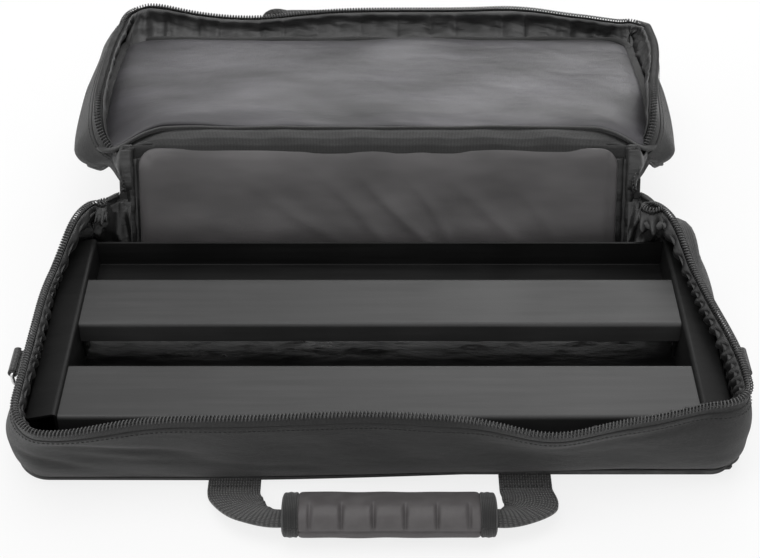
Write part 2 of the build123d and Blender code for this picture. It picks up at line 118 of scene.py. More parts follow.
def ripple(a: Array, b: Array, length: float, seed: int, waves: int = 7) -> Array:
    """Soft irregular dents.

    The sum of crossed sine waves, sin(k . (a, b) + p), whose directions, lengths and phases come
    from a seeded generator, scaled to lie between about -1 and 1.

    Args:
        a: First coordinate on the cloth, in mm.
        b: Second coordinate on the cloth, in mm.
        length: Typical distance between two dents, in mm.
        seed: Chooses the pattern.
        waves: How many sine waves are added.

    Returns:
        The height of the dents, in the shape of a and b together.
    """
    chance = np.random.default_rng(seed)
    total = np.zeros(np.broadcast(a, b).shape)
    angles = chance.uniform(0, math.tau, waves)
    stretches = chance.uniform(0.6, 1.7, waves)
    phases = chance.uniform(0, math.tau, waves)
    for angle, stretch, phase in zip(angles, stretches, phases):
        k = math.tau / (length * stretch)
        total = total + np.sin(k * (a * math.cos(angle) + b * math.sin(angle)) + phase)
    return total / math.sqrt(waves * 1.5)


def unit(v: Array) -> Array:
    """Vectors of length 1 along v."""
    return v / np.maximum(np.linalg.norm(v, axis=-1, keepdims=True), TINY)


def between(a: Array, b: Array, share: Array) -> Array:
    """The value a share of the way from a to b."""
    return a * (1 - share) + b * share


def at_points(x: Array, y: Array, z: Array) -> Array:
    """Points from their three coordinates, each spread out to the shape of all of them."""
    return np.stack(np.broadcast_arrays(x, y, z), axis=-1)


def lattice(first: Range, second: Range) -> list[Array]:
    """A rectangular grid from two ranges, each its low end, its high end and its count."""
    return np.meshgrid(np.linspace(*first), np.linspace(*second), indexing="ij")


def way_along(path: Array) -> Array:
    """The way along a path from its first point to each point."""
    return np.concatenate([[0.0], np.cumsum(np.linalg.norm(np.diff(path, axis=0), axis=-1))])


def pick(s: Array, way: Array, values: Array) -> Array:
    """Vectors read off at the ways s, between those known at the ways along a path."""
    return np.stack([np.interp(s, way, values[:, i]) for i in range(3)], axis=-1)


def turn_yz(points: Array, pivot: tuple[float, float], angle: Array | float) -> Array:
    """Turn points about a line along X, so that up moves to the back.

    y' = y0 + dy cos a + dz sin a and z' = z0 - dy sin a + dz cos a.

    Args:
        points: Points in mm, whose last axis is x, y, z.
        pivot: The line's y and z.
        angle: One angle in radians, or one for each point.

    Returns:
        The turned points.
    """
    dy, dz = points[..., 1] - pivot[0], points[..., 2] - pivot[1]
    c, s = np.cos(angle), np.sin(angle)
    return np.stack([points[..., 0], pivot[0] + dy * c + dz * s, pivot[1] - dy * s + dz * c], axis=-1)


# ---------------------------------------------------------------------- meshes
def mesh_object(name: str, points: Array, faces: Array, uv: Array | None = None) -> Piece:
    """Write a smooth-shaded mesh.

    Args:
        name: The piece's name.
        points: Its corners in mm, one row each.
        faces: Rows of three or four corner numbers, anticlockwise seen from outside.
        uv: One pair for each corner, in mm on the cloth.

    Returns:
        The new object, at the origin.
    """
    mesh = bpy.data.meshes.new(name)
    sides = faces.shape[1]
    mesh.vertices.add(len(points))
    mesh.vertices.foreach_set("co", (points * MM).astype(np.float32).ravel())
    mesh.loops.add(faces.size)
    mesh.loops.foreach_set("vertex_index", faces.astype(np.int32).ravel())
    mesh.polygons.add(len(faces))
    mesh.polygons.foreach_set("loop_start", np.arange(0, faces.size, sides, dtype=np.int32))
    mesh.polygons.foreach_set("use_smooth", np.ones(len(faces), bool))
    if uv is not None:
        layer = mesh.uv_layers.new(name="cloth")
        layer.data.foreach_set("uv", (uv[faces.ravel()] * MM).astype(np.float32).ravel())
    mesh.update(calc_edges=True)
    mesh.validate()
    made = bpy.data.objects.new(name, mesh)
    bpy.context.scene.collection.objects.link(made)
    return made


def grid_faces(nu: int, nv: int, wrap_u: bool = False, wrap_v: bool = False) -> Array:
    """Four-sided faces of an nu by nv grid of corners, closed on itself where a wrap is asked for."""
    u = np.arange(nu if wrap_u else nu - 1)
    v = np.arange(nv if wrap_v else nv - 1)
    i, j = np.meshgrid(u, v, indexing="ij")
    i2, j2 = (i + 1) % nu, (j + 1) % nv
    quads = np.stack([i * nv + j, i2 * nv + j, i2 * nv + j2, i * nv + j2], axis=-1)
    return quads.reshape(-1, 4)


def cloth_uv(grid: Array) -> Array:
    """Lengths along the cloth in both directions, summed from corner to corner."""
    step_u = np.linalg.norm(np.diff(grid, axis=0), axis=-1).mean(axis=1)
    step_v = np.linalg.norm(np.diff(grid, axis=1), axis=-1).mean(axis=0)
    u = np.concatenate([[0.0], np.cumsum(step_u)])
    v = np.concatenate([[0.0], np.cumsum(step_v)])
    return np.stack(np.meshgrid(u, v, indexing="ij"), axis=-1)


def tube_grid(path: Array, across: Array, upward: Array, sides: int) -> Array:
    """Points on ellipses carried along a path.

    Each ring is p + across cos t + upward sin t.

    Args:
        path: The middle of each ring.
        across: The first half axis of each ring, with its length.
        upward: The second half axis of each ring, with its length.
        sides: Corners in each ring.

    Returns:
        A grid of rings by corners.
    """
    t = np.linspace(0, math.tau, sides, endpoint=False)[None, :, None]
    return path[:, None] + across[:, None] * np.cos(t) + upward[:, None] * np.sin(t)


def closed_tube(name: str, rings: Array, wrap_u: bool = False) -> Piece:
    """A tube through a grid of rings, with its two ends closed by a point each unless it wraps."""
    nu, nv = rings.shape[:2]
    points = rings.reshape(-1, 3)
    faces = grid_faces(nu, nv, wrap_u, True)
    uv = np.stack(lattice((0, 1, nu), (0, 1, nv)), axis=-1)
    length = np.linalg.norm(np.diff(rings.mean(axis=1), axis=0), axis=-1).sum()
    girth = np.linalg.norm(rings[0] - np.roll(rings[0], 1, axis=0), axis=-1).sum()
    uv = (uv * [length, girth]).reshape(-1, 2)
    if not wrap_u:
        ends = np.stack([rings[0].mean(axis=0), rings[-1].mean(axis=0)])
        points = np.concatenate([points, ends])
        uv = np.concatenate([uv, [[0.0, 0.0], [length, 0.0]]])
        j = np.arange(nv)
        k = (j + 1) % nv
        rear = (nu - 1) * nv
        near = np.stack([np.full(nv, nu * nv), j, k], axis=-1)
        far = np.stack([np.full(nv, nu * nv + 1), rear + k, rear + j], axis=-1)
        faces = np.concatenate([faces[:, [0, 1, 2]], faces[:, [0, 2, 3]], near, far])
    return face_out(mesh_object(name, points, faces, uv))


def slab(name: str, outer: Array, inner: Array) -> Piece:
    """A closed piece of cloth or foam between two grids of the same size.

    The two grids are joined along all four edges.

    Args:
        name: The piece's name.
        outer: One face of the cloth.
        inner: The other face, corner for corner.

    Returns:
        The new piece.
    """
    nu, nv = outer.shape[:2]
    loop = np.concatenate([outer, inner[:, ::-1]], axis=1)
    points = loop.reshape(-1, 3)
    sides = grid_faces(nu, 2 * nv, False, True)
    j = np.arange(nv - 1)
    start = np.stack([j, j + 1, 2 * nv - 2 - j, 2 * nv - 1 - j], axis=-1)
    end = start[:, ::-1] + (nu - 1) * 2 * nv
    flat = cloth_uv(outer)
    uv = np.concatenate([flat, flat[:, ::-1]], axis=1).reshape(-1, 2)
    return face_out(mesh_object(name, points, np.concatenate([sides, start, end]), uv))


def face_out(obj: Piece) -> Piece:
    """Turn a closed mesh inside out if its volume comes out negative."""
    mesh = obj.data
    mesh.calc_loop_triangles()
    tri = np.zeros(len(mesh.loop_triangles) * 3, np.int32)
    mesh.loop_triangles.foreach_get("vertices", tri)
    p = corners_of(mesh)[tri.reshape(-1, 3)]
    if np.einsum("ij,ij->", p[:, 0], np.cross(p[:, 1], p[:, 2])) < 0:
        mesh.flip_normals()
    return obj


def corners_of(mesh: bpy.types.Mesh) -> Array:
    """A mesh's corners in mm."""
    co = np.zeros(len(mesh.vertices) * 3)
    mesh.vertices.foreach_get("co", co)
    return co.reshape(-1, 3) / MM


def set_corners(obj: Piece, points: Array) -> None:
    """Write a mesh's corners, given in mm."""
    obj.data.vertices.foreach_set("co", (points * MM).ravel())
    obj.data.update()


def coat(obj: Piece, material: bpy.types.Material) -> None:
    """Give a piece one finish in place of any other."""
    obj.data.materials.clear()
    obj.data.materials.append(material)


def attach(
    obj: Piece, material: bpy.types.Material, slot: str, held_by: "str | Crossing", *nodes: str
) -> None:
    """Dress a piece, tie it to its body or bake it in place at a crossing, and let it stand for its nodes.

    Args:
        obj: The piece.
        material: Its finish.
        slot: Not used.
        held_by: The body that it rides on, or a crossing between two bodies, at which its transform is baked.
        nodes: The CAD nodes that it replaces.
    """
    coat(obj, material)
    if isinstance(held_by, Crossing):
        held_by.join(obj)
    else:
        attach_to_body(obj, held_by)
    if nodes:
        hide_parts(*nodes)


# ---------------------------------------------------------------------- finishes
class Reads(Enum):
    """Where a finish takes its pattern from: the piece's own cloth map, or its place in space."""

    CLOTH = "UV"
    SPACE = "Object"


class NodeSheet:
    """Lays out the nodes of one material."""

    WAVE_UNIT = math.tau / 20.0  # length in metres of one wave, in a wave texture of scale 1

    def __init__(self, name: str, reads: Reads) -> None:
        """Start an empty material.

        Args:
            name: The material's name.
            reads: What its patterns follow.
        """
        self.material = bpy.data.materials.new(name)
        self.material.use_nodes = True
        self.tree = self.material.node_tree
        self.tree.nodes.clear()
        self.shader = self.node("ShaderNodeBsdfPrincipled")
        output = self.node("ShaderNodeOutputMaterial")
        self.link(self.shader.outputs["BSDF"], output.inputs["Surface"])
        self.place = self.node("ShaderNodeTexCoord").outputs[reads.value]

    def node(self, kind: str, **settings: object) -> bpy.types.Node:
        """Add a node and set its properties."""
        made = self.tree.nodes.new(kind)
        for key, value in settings.items():
            setattr(made, key, value)
        return made

    def link(self, source: Socket, target: Socket) -> None:
        """Join two sockets."""
        self.tree.links.new(source, target)

    def stretch(self, scale: Triple, turn: float = 0.0) -> Socket:
        """The pattern's coordinates, scaled and turned about Z by an angle in degrees."""
        mapping = self.node("ShaderNodeMapping")
        mapping.inputs["Scale"].default_value = scale
        mapping.inputs["Rotation"].default_value = (0.0, 0.0, math.radians(turn))
        self.link(self.place, mapping.inputs["Vector"])
        return mapping.outputs["Vector"]

    def noise(
        self, size: float, detail: float = 3.0, stretch: Triple = (1.0, 1.0, 1.0), turn: float = 0.0
    ) -> Socket:
        """Cloudy noise whose blobs are about size millimetres across."""
        cloud = self.node("ShaderNodeTexNoise")
        cloud.inputs["Scale"].default_value = 1.0 / (size * MM)
        cloud.inputs["Detail"].default_value = detail
        self.link(self.stretch(stretch, turn), cloud.inputs["Vector"])
        return cloud.outputs["Fac"]

    def bands(self, pitch: float, axis: str, distortion: float = 0.0, turn: float = 0.0) -> Socket:
        """Ridges of a sine wave that repeat every pitch millimetres along one axis."""
        wave = self.node("ShaderNodeTexWave", wave_type="BANDS", bands_direction=axis, wave_profile="SIN")
        wave.inputs["Scale"].default_value = self.WAVE_UNIT / (pitch * MM)
        wave.inputs["Distortion"].default_value = distortion
        wave.inputs["Detail"].default_value = 1.0
        self.link(self.stretch((1.0, 1.0, 1.0), turn), wave.inputs["Vector"])
        return wave.outputs["Fac"]

    def mix(self, a: Socket, b: Socket, operation: str) -> Socket:
        """Two numbers joined by an operation such as MULTIPLY or ADD."""
        maths = self.node("ShaderNodeMath", operation=operation)
        self.link(a, maths.inputs[0])
        self.link(b, maths.inputs[1])
        return maths.outputs[0]

    def ramp(self, source: Socket, low: Colour, high: Colour, start: float, end: float) -> Socket:
        """Two colours, or greys for a roughness, spread over a source's range from start to end."""
        ramp = self.node("ShaderNodeValToRGB")
        first, second = ramp.color_ramp.elements
        first.position, second.position = start, end
        first.color, second.color = (*low, 1.0), (*high, 1.0)
        self.link(source, ramp.inputs["Fac"])
        return ramp.outputs["Color"]

    def colour(self, source: Socket) -> None:
        """Feed the shader's base colour."""
        self.link(source, self.shader.inputs["Base Color"])

    def roughness(self, source: Socket, low: float, high: float) -> None:
        """Let the roughness vary with a source between two values."""
        self.link(self.ramp(source, (low,) * 3, (high,) * 3, 0.3, 0.7), self.shader.inputs["Roughness"])

    def relief(self, layers: list[tuple[Socket, float]]) -> None:
        """Bump the surface by several layers, each a height source and its depth in millimetres."""
        below = None
        for source, depth in layers:
            raised = self.node("ShaderNodeBump")
            raised.inputs["Strength"].default_value = 1.0
            raised.inputs["Distance"].default_value = depth * MM
            self.link(source, raised.inputs["Height"])
            if below is not None:
                self.link(below, raised.inputs["Normal"])
            below = raised.outputs["Normal"]
        self.link(below, self.shader.inputs["Normal"])

    def set(self, **values: float) -> None:
        """Set the shader's own numbers; an underscore in a name stands for a space."""
        for key, value in values.items():
            self.shader.inputs[key.replace("_", " ")].default_value = value


def grey(level: float, warmth: float = 0.0) -> Colour:
    """A grey whose red is raised and whose blue is lowered by the warmth."""
    return (level * (1 + warmth), level, level * (1 - warmth))


@dataclass(frozen=True)
class Finish:
    """What the finishes share: a name and the two ends of the range of colour."""

    name: str
    dark: Colour
    light: Colour


@dataclass(frozen=True)
class WovenCloth(Finish):
    """Black woven cloth: a plain weave, a mottled colour and a soft sheen."""

    thread: float = 0.55
    relief: float = 0.12
    rough_low: float = 0.62
    rough_high: float = 0.85
    sheen: float = 0.25
    specular: float = 0.35
    mottle: float = 2.2
    crease: float = 0.5
    crease_size: float = 38.0

    def make(self) -> bpy.types.Material:
        """Lay out the weave as two crossing ridges, with mottling and long creases over it."""
        sheet = NodeSheet(self.name, Reads.CLOTH)
        weave = sheet.mix(sheet.bands(self.thread, "X", 0.6), sheet.bands(self.thread, "Y", 0.6), "MULTIPLY")
        mottle = sheet.noise(self.mottle, 4.0)
        sheet.colour(sheet.ramp(sheet.mix(mottle, weave, "ADD"), self.dark, self.light, 0.3, 1.25))
        sheet.roughness(mottle, self.rough_low, self.rough_high)
        crease = sheet.noise(self.crease_size, 5.0, (1.0, 2.2, 1.0), 32.0)
        sheet.relief([(crease, self.crease * 4), (mottle, self.relief), (weave, self.relief)])
        sheet.set(Sheen_Weight=self.sheen, Sheen_Roughness=0.45, Specular_IOR_Level=self.specular)
        return sheet.material


@dataclass(frozen=True)
class SatinLining(Finish):
    """Smooth lining cloth with long floats, whose broad streaks of light are painted highlights in its cloudy
    colour.
    """

    rough_low: float = 0.34
    rough_high: float = 0.5
    specular: float = 0.6
    sheen: float = 0.1
    crease: float = 1.0
    crease_size: float = 60.0
    crease_turn: float = 35.0
    # Size in mm of the streaks of painted highlight in the colour.
    painted_highlight_streak: float = 90.0

    def make(self) -> bpy.types.Material:
        """Lay out fine warp threads, slanting creases and a cloudy colour whose light streaks are painted
        highlights.
        """
        sheet = NodeSheet(self.name, Reads.CLOTH)
        warp = sheet.bands(0.35, "X", 0.3)
        fine = sheet.noise(1.2, 3.0)
        # Painted highlight: this cloud spreads the colour from dark to light in long slanting streaks that
        # stand in for the light the satin catches.
        cloud = sheet.noise(self.painted_highlight_streak, 2.0, (1.0, 2.6, 1.0), self.crease_turn)
        sheet.colour(sheet.ramp(cloud, self.dark, self.light, 0.35, 0.68))
        sheet.roughness(cloud, self.rough_high, self.rough_low)
        crease = sheet.noise(self.crease_size, 6.0, (1.0, 3.2, 1.0), self.crease_turn)
        sheet.relief([(crease, self.crease * 3), (fine, 0.05), (warp, 0.04)])
        sheet.set(Specular_IOR_Level=self.specular, Sheen_Weight=self.sheen, Sheen_Roughness=0.35)
        return sheet.material


@dataclass(frozen=True)
class RibbedTape(Finish):
    """Webbing, binding or zip tape: ribs across its length and two edges of twill."""

    rib: float = 1.1
    depth: float = 0.35
    rough: float = 0.7
    sheen: float = 0.3

    def make(self) -> bpy.types.Material:
        """Lay out ribs that run across the tape, crossed by finer threads."""
        sheet = NodeSheet(self.name, Reads.CLOTH)
        rib = sheet.bands(self.rib, "X", 0.4)
        thread = sheet.bands(self.rib * 0.6, "Y", 0.8)
        woven = sheet.mix(rib, thread, "MULTIPLY")
        fuzz = sheet.noise(0.9, 4.0)
        sheet.colour(sheet.ramp(sheet.mix(woven, fuzz, "ADD"), self.dark, self.light, 0.35, 1.3))
        sheet.roughness(fuzz, self.rough, min(1.0, self.rough + 0.2))
        sheet.relief([(sheet.noise(22.0, 3.0), 1.2), (woven, self.depth), (fuzz, 0.08)])
        sheet.set(Sheen_Weight=self.sheen, Sheen_Roughness=0.5, Specular_IOR_Level=0.35)
        return sheet.material


@dataclass(frozen=True)
class PowderCoat(Finish):
    """Black paint baked on sheet steel: a fine orange peel, with dust and rubbed places."""

    rough: float = 0.46
    grain: float = 0.9
    specular: float = 0.5

    def make(self) -> bpy.types.Material:
        """Lay out fine grain, a cloudy rubbed tone and long faint scuffs."""
        sheet = NodeSheet(self.name, Reads.SPACE)
        grain = sheet.noise(self.grain, 2.0)
        cloud = sheet.noise(70.0, 5.0)
        scuff = sheet.noise(5.0, 6.0, (0.06, 1.0, 1.0))
        sheet.colour(sheet.ramp(sheet.mix(cloud, scuff, "MULTIPLY"), self.dark, self.light, 0.16, 0.42))
        sheet.roughness(cloud, self.rough - 0.05, self.rough + 0.08)
        sheet.relief([(grain, 0.05)])
        sheet.set(Specular_IOR_Level=self.specular)
        return sheet.material


@dataclass(frozen=True)
class PlatedMetal:
    """Metal of a small fitting, bright or enamelled, with fine tumbling marks."""

    name: str
    colour: Colour
    metallic: float
    rough: float
    coat: float = 0.0

    def make(self) -> bpy.types.Material:
        """Lay out small marks and a slight change of roughness."""
        sheet = NodeSheet(self.name, Reads.SPACE)
        marks = sheet.noise(0.8, 5.0)
        worn = sheet.noise(3.5, 3.0)
        darker = tuple(0.7 * c for c in self.colour)
        sheet.colour(sheet.ramp(worn, darker, self.colour, 0.35, 0.6))
        sheet.roughness(worn, self.rough, min(1.0, self.rough + 0.15))
        sheet.relief([(marks, 0.015)])
        sheet.set(Metallic=self.metallic, Coat_Weight=self.coat, Coat_Roughness=0.15)
        return sheet.material


@dataclass(frozen=True)
class Moulded(Finish):
    """Moulded foam, rubber or nylon with a fine skin grain."""

    rough: float = 0.6
    grain: float = 0.7
    relief: float = 0.08
    specular: float = 0.5
    sheen: float = 0.0

    def make(self) -> bpy.types.Material:
        """Lay out the skin's grain as small cells over a cloudy tone."""
        sheet = NodeSheet(self.name, Reads.SPACE)
        cells = sheet.node("ShaderNodeTexVoronoi")
        cells.inputs["Scale"].default_value = 1.0 / (self.grain * MM)
        sheet.link(sheet.place, cells.inputs["Vector"])
        cloud = sheet.noise(9.0, 4.0)
        sheet.colour(sheet.ramp(cloud, self.dark, self.light, 0.35, 0.65))
        sheet.roughness(cloud, self.rough, min(1.0, self.rough + 0.15))
        sheet.relief([(cells.outputs["Distance"], self.relief)])
        sheet.set(Specular_IOR_Level=self.specular, Sheen_Weight=self.sheen, Sheen_Roughness=0.4)
        return sheet.material


class Finishes:
    """Every finish of the case, made once."""

    def __init__(self) -> None:
        """Make the materials."""
        self.outer = WovenCloth(
            "woven_outer_cloth", grey(0.005), grey(0.051), relief=0.24, mottle=1.5
        ).make()
        self.lining = SatinLining(
            "black_lining_cloth", grey(0.006), grey(0.018), rough_low=0.26, rough_high=0.38,
            sheen=0.05, crease=0.35, crease_size=24.0, painted_highlight_streak=60.0,
        ).make()
        # Painted light: a lighter copy of the black lining, standing in for the light that falls on the lid's
        # lining.
        self.lit_lid_lining = SatinLining(
            "lid_lining_cloth_painted_lit", grey(0.026), grey(0.062), rough_low=0.28, rough_high=0.4,
            sheen=0.05, crease=0.4, crease_size=20.0, painted_highlight_streak=26.0,
        ).make()
        self.satin = SatinLining(
            "grey_satin_lining", (0.036, 0.035, 0.038), (0.1, 0.096, 0.107), rough_low=0.3,
            rough_high=0.44, crease=0.45, crease_size=80.0, crease_turn=40.0, painted_highlight_streak=120.0,
        ).make()
        self.pad = SatinLining(
            "coated_pad_cloth", (0.058, 0.055, 0.056), (0.1, 0.095, 0.097), rough_low=0.33,
            rough_high=0.45, specular=0.5, crease=0.15, crease_turn=50.0,
        ).make()
        self.tape = RibbedTape("zip_tape_weave", grey(0.012), grey(0.035), rib=0.9, depth=0.15).make()
        self.binding = RibbedTape(
            "binding_tape_weave", grey(0.009), grey(0.027), rib=1.2, depth=0.25
        ).make()
        self.webbing = RibbedTape(
            "strap_webbing_weave", grey(0.018), grey(0.105, 0.01), rib=2.6, depth=0.9, rough=0.6
        ).make()
        self.thread = Moulded(
            "black_thread", grey(0.008), grey(0.014), grain=0.4, relief=0.01, specular=0.3
        ).make()
        self.foam = Moulded("closed_cell_foam", grey(0.05), grey(0.09), rough=0.85, grain=0.5).make()
        self.grip = Moulded(
            "moulded_grip_skin", (0.076, 0.07, 0.071), (0.094, 0.088, 0.089),
            rough=0.5, grain=0.8, relief=0.06, sheen=0.1,
        ).make()
        self.coil = Moulded(
            "nylon_coil", grey(0.035), grey(0.062), rough=0.3, grain=1.0, relief=0.02, specular=0.65
        ).make()
        self.piping = Moulded(
            "piping_skin", grey(0.02), grey(0.035), rough=0.35, grain=1.2, relief=0.02, specular=0.6
        ).make()
        self.rubber = Moulded("foot_rubber", grey(0.02), grey(0.035), rough=0.75, grain=0.6).make()
        self.paint = PowderCoat("powder_coat", grey(0.028), grey(0.042)).make()
        # Painted shade: a darker copy of the powder coat stands in for the shade on the board's side plates,
        # rear rail and brackets.
        self.shaded_side_paint = PowderCoat(
            "shaded_powder_coat", grey(0.006), grey(0.011), rough=0.5, specular=0.22
        ).make()
        self.zip_metal = PlatedMetal("black_zip_metal", grey(0.05), 0.6, 0.3, coat=0.5).make()
        self.screw = PlatedMetal("black_screw", grey(0.06), 0.8, 0.4).make()
        self.nickel = PlatedMetal("nickel_plate", grey(0.78), 1.0, 0.16).make()


# ---------------------------------------------------------------------- the case's plan and posture
@dataclass(frozen=True)
class Outline:
    """Points round the case's plan, from the left end of the zip round the front to the right end."""

    x: Array
    y: Array
    nx: Array
    ny: Array
    s: Array
    total: float

    @property
    def near(self) -> Array:
        """The way from each point to the nearer end of the zip."""
        return np.minimum(self.s, self.total - self.s)

    @property
    def outward(self) -> Array:
        """The outline's normals as level vectors."""
        return at_points(self.nx, self.ny, 0 * self.nx)

    def at(self, inset: Array | float) -> tuple[Array, Array]:
        """The outline drawn in along its normals."""
        return self.x - self.nx * inset, self.y - self.ny * inset

    def pushed(self, x: Array, y: Array, z: Array, out: Array) -> Array:
        """A wall's grid of points, moved out along the outline's normals."""
        return np.stack([x + self.nx[:, None] * out, y + self.ny[:, None] * out, z], axis=-1)


@dataclass(frozen=True)
class CaseForm:
    """The shut case's plan, its two hinge lines and how far each stands open."""

    width: float = 536.0
    depth: float = 240.0
    height: float = 110.0
    back_radius: float = 32.0
    front_radius: float = 28.0
    zip_end: float = 217.0
    panel_half: float = 206.0
    lean: float = math.radians(27.0)
    opening: float = math.radians(162.0)
    trace_steps: int = 16001

    @property
    def low_hinge(self) -> tuple[float, float]:
        """The back panel's bottom edge, y and z."""
        return self.depth / 2, 0.0

    @property
    def high_hinge(self) -> tuple[float, float]:
        """The lid's hinge while the case is shut, y and z."""
        return self.depth / 2, self.height

    def outline(self, count: int, tail: float = 0.0) -> Outline:
        """Trace the plan by its heading.

        The heading turns by 1 / radius per millimetre in each corner and holds still along each side,
        and the position is the sum of (cos, sin) of the heading.

        Args:
            count: How many points are wanted.
            tail: How far the line runs on past each end of the zip, in mm.

        Returns:
            The outline, anticlockwise seen from above.
        """
        half, rear, front = self.width / 2, self.back_radius, self.front_radius
        runs = [
            (half - rear - self.zip_end + tail, 0.0),
            (rear * math.pi / 2, 1 / rear),
            (self.depth - rear - front, 0.0),
            (front * math.pi / 2, 1 / front),
            (2 * (half - front), 0.0),
        ]
        runs = runs + runs[-2::-1]
        ends = np.cumsum([length for length, _ in runs])
        fine = np.linspace(0.0, ends[-1], self.trace_steps)
        middle = (fine[1:] + fine[:-1]) / 2
        bend = np.array([b for _, b in runs])[np.searchsorted(ends, middle).clip(0, len(runs) - 1)]
        step = fine[1] - fine[0]
        heading = math.pi + np.concatenate([[0.0], np.cumsum(bend) * step])
        along = (heading[1:] + heading[:-1]) / 2
        x = -self.zip_end + tail + np.concatenate([[0.0], np.cumsum(np.cos(along)) * step])
        y = self.depth / 2 + np.concatenate([[0.0], np.cumsum(np.sin(along)) * step])
        s = np.linspace(0.0, ends[-1], count)
        x, y, turn = (np.interp(s, fine, values) for values in (x, y, heading))
        return Outline(x, y, np.sin(turn), -np.cos(turn), s - tail, float(ends[-1] - 2 * tail))

    def lean_back(self, points: Array, share: Array | float = 1.0) -> Array:
        """Tip points of the shut case back with the panel, wholly or by a share."""
        return turn_yz(points, self.low_hinge, self.lean * np.asarray(share))

    def open_lid(self, points: Array, share: Array | float = 1.0) -> Array:
        """Turn points of the shut case with the lid by a share, then with the panel."""
        return self.lean_back(turn_yz(points, self.high_hinge, self.opening * np.asarray(share)))

    def on_lid(self, x: Array, run: Array, rise: Array) -> Array:
        """Points of the lid: run is the way from the hinge, rise the height over its outer face."""
        return self.open_lid(at_points(x, self.depth / 2 - run, self.height - rise))

    def on_panel(self, x: Array, up: Array, deep: Array) -> Array:
        """Points of the back panel: up is the way from its foot, deep the way in from its face."""
        return self.lean_back(at_points(x, self.depth / 2 - deep, up))


@dataclass(frozen=True)
class Crossing:
    """Where cloth passes from one body to the next: two points, as y and z in mm."""

    first: str
    second: str
    start: tuple[float, float]
    end: tuple[float, float]

    def share(self, points: Array) -> Array:
        """How far each point follows the second body: a smoothstep of its way from start to end."""
        dy, dz = self.end[0] - self.start[0], self.end[1] - self.start[1]
        way = (points[..., 1] - self.start[0]) * dy + (points[..., 2] - self.start[1]) * dz
        return smoothstep(way / (dy * dy + dz * dz))

    def join(self, obj: Piece) -> None:
        """Bake a finished piece's transform into its mesh."""
        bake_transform(obj)


def stitch_row(
    name: str, path: Array, normal: Array, pitch: float = 3.4, length: float = 2.3
) -> Piece:
    """A row of lock stitches.

    Each stitch is a small six-sided spindle that lies along the path and stands a little proud.

    Args:
        name: The piece's name.
        path: Points along the seam, in mm.
        normal: The cloth's outward direction at each point.
        pitch: Distance from stitch to stitch.
        length: Length of the thread that shows.

    Returns:
        The row as one mesh.
    """
    way = way_along(path)
    middles = np.arange(pitch, way[-1] - pitch, pitch)
    sides, offsets = 6, np.array([-0.5, -0.25, 0.25, 0.5]) * length
    thick = np.array([0.1, 0.28, 0.28, 0.1])
    at = middles[:, None] + offsets
    up = unit(pick(at.ravel(), way, normal)).reshape(*at.shape, 3)
    centre = pick(at.ravel(), way, path).reshape(*at.shape, 3) + up * (thick * 0.9)[None, :, None]
    along = unit(pick(middles + 0.5, way, path) - pick(middles - 0.5, way, path))[:, None]
    side = unit(np.cross(along, up))
    turn = np.linspace(0, math.tau, sides, endpoint=False)[None, None, :, None]
    rings = centre[:, :, None] + thick[None, :, None, None] * (
        side[:, :, None] * np.cos(turn) + up[:, :, None] * np.sin(turn)
    )
    caps = np.array([[0, 5, 4, 3], [0, 3, 2, 1], [18, 19, 20, 21], [18, 21, 22, 23]])
    one = np.concatenate([grid_faces(len(thick), sides, False, True), caps])
    first_corners = len(thick) * sides * np.arange(len(middles))
    return mesh_object(name, rings.reshape(-1, 3), (one[None] + first_corners[:, None, None]).reshape(-1, 4))


def coil(
    name: str, path: Array, outward: Array, radius: float = 1.55, pitch: float = 2.6, wire: float = 0.62
) -> Piece:
    """A zip's nylon coil: a flattened helix of wire wound round a path.

    The helix is p + radius (wide outward cos t + up sin t), with t growing by a turn every pitch.

    Args:
        name: The piece's name.
        path: Middle of the coil, in mm.
        outward: Direction away from the case at each point.
        radius: Radius of the turns.
        pitch: Distance between turns.
        wire: Radius of the wire.

    Returns:
        The coil as one closed tube.
    """
    way = way_along(path)
    corners, wide = 8, 1.65
    s = np.linspace(0.0, way[-1], int(way[-1] / pitch) * corners)
    middle, out = pick(s, way, path), unit(pick(s, way, outward))
    along = unit(np.gradient(middle, axis=0))
    up = unit(np.cross(along, out))
    up = up * np.sign(up[:, 2:3] + 1e-6)
    angle = (np.arange(len(s)) * math.tau / corners)[:, None]
    wire_path = middle + radius * (wide * out * np.cos(angle) + up * np.sin(angle))
    run = unit(np.gradient(wire_path, axis=0))
    side = unit(np.cross(run, along))
    return closed_tube(name, tube_grid(wire_path, side * wire, np.cross(run, side) * wire, 5))


# ---------------------------------------------------------------------- soft walls
@dataclass(frozen=True)
class Plies:
    """Where a wall's plies lie: shares of its height, and depths in from its outer face in mm.

    The outer cloth runs on under the zip's tape by a lap. The foam and the lining each start at a
    low share and span so much of the height. The lining rolls over the rim, from the lip's depth to
    the lip and the roll together. The seam's stitches lie a share below the tape. A depth below zero
    stands proud of the outer face.
    """

    lap: float
    foam_low: float
    foam_span: float
    foam_deep: float
    foam_fill: float
    lining_low: float
    lining_span: float
    lining_rows: int
    lip: float
    roll: float
    roll_share: float
    folds: float
    coil_deep: float
    seam_down: float
    stitch: float
    piping_deep: float
    thick: float = 1.1
    tape_rows: int = 7
    tape: tuple[float, float] = (0.75, 1.5)
    foam_from: float = 1.7
    lining_thick: float = 0.7
    seam_deep: float = -0.05


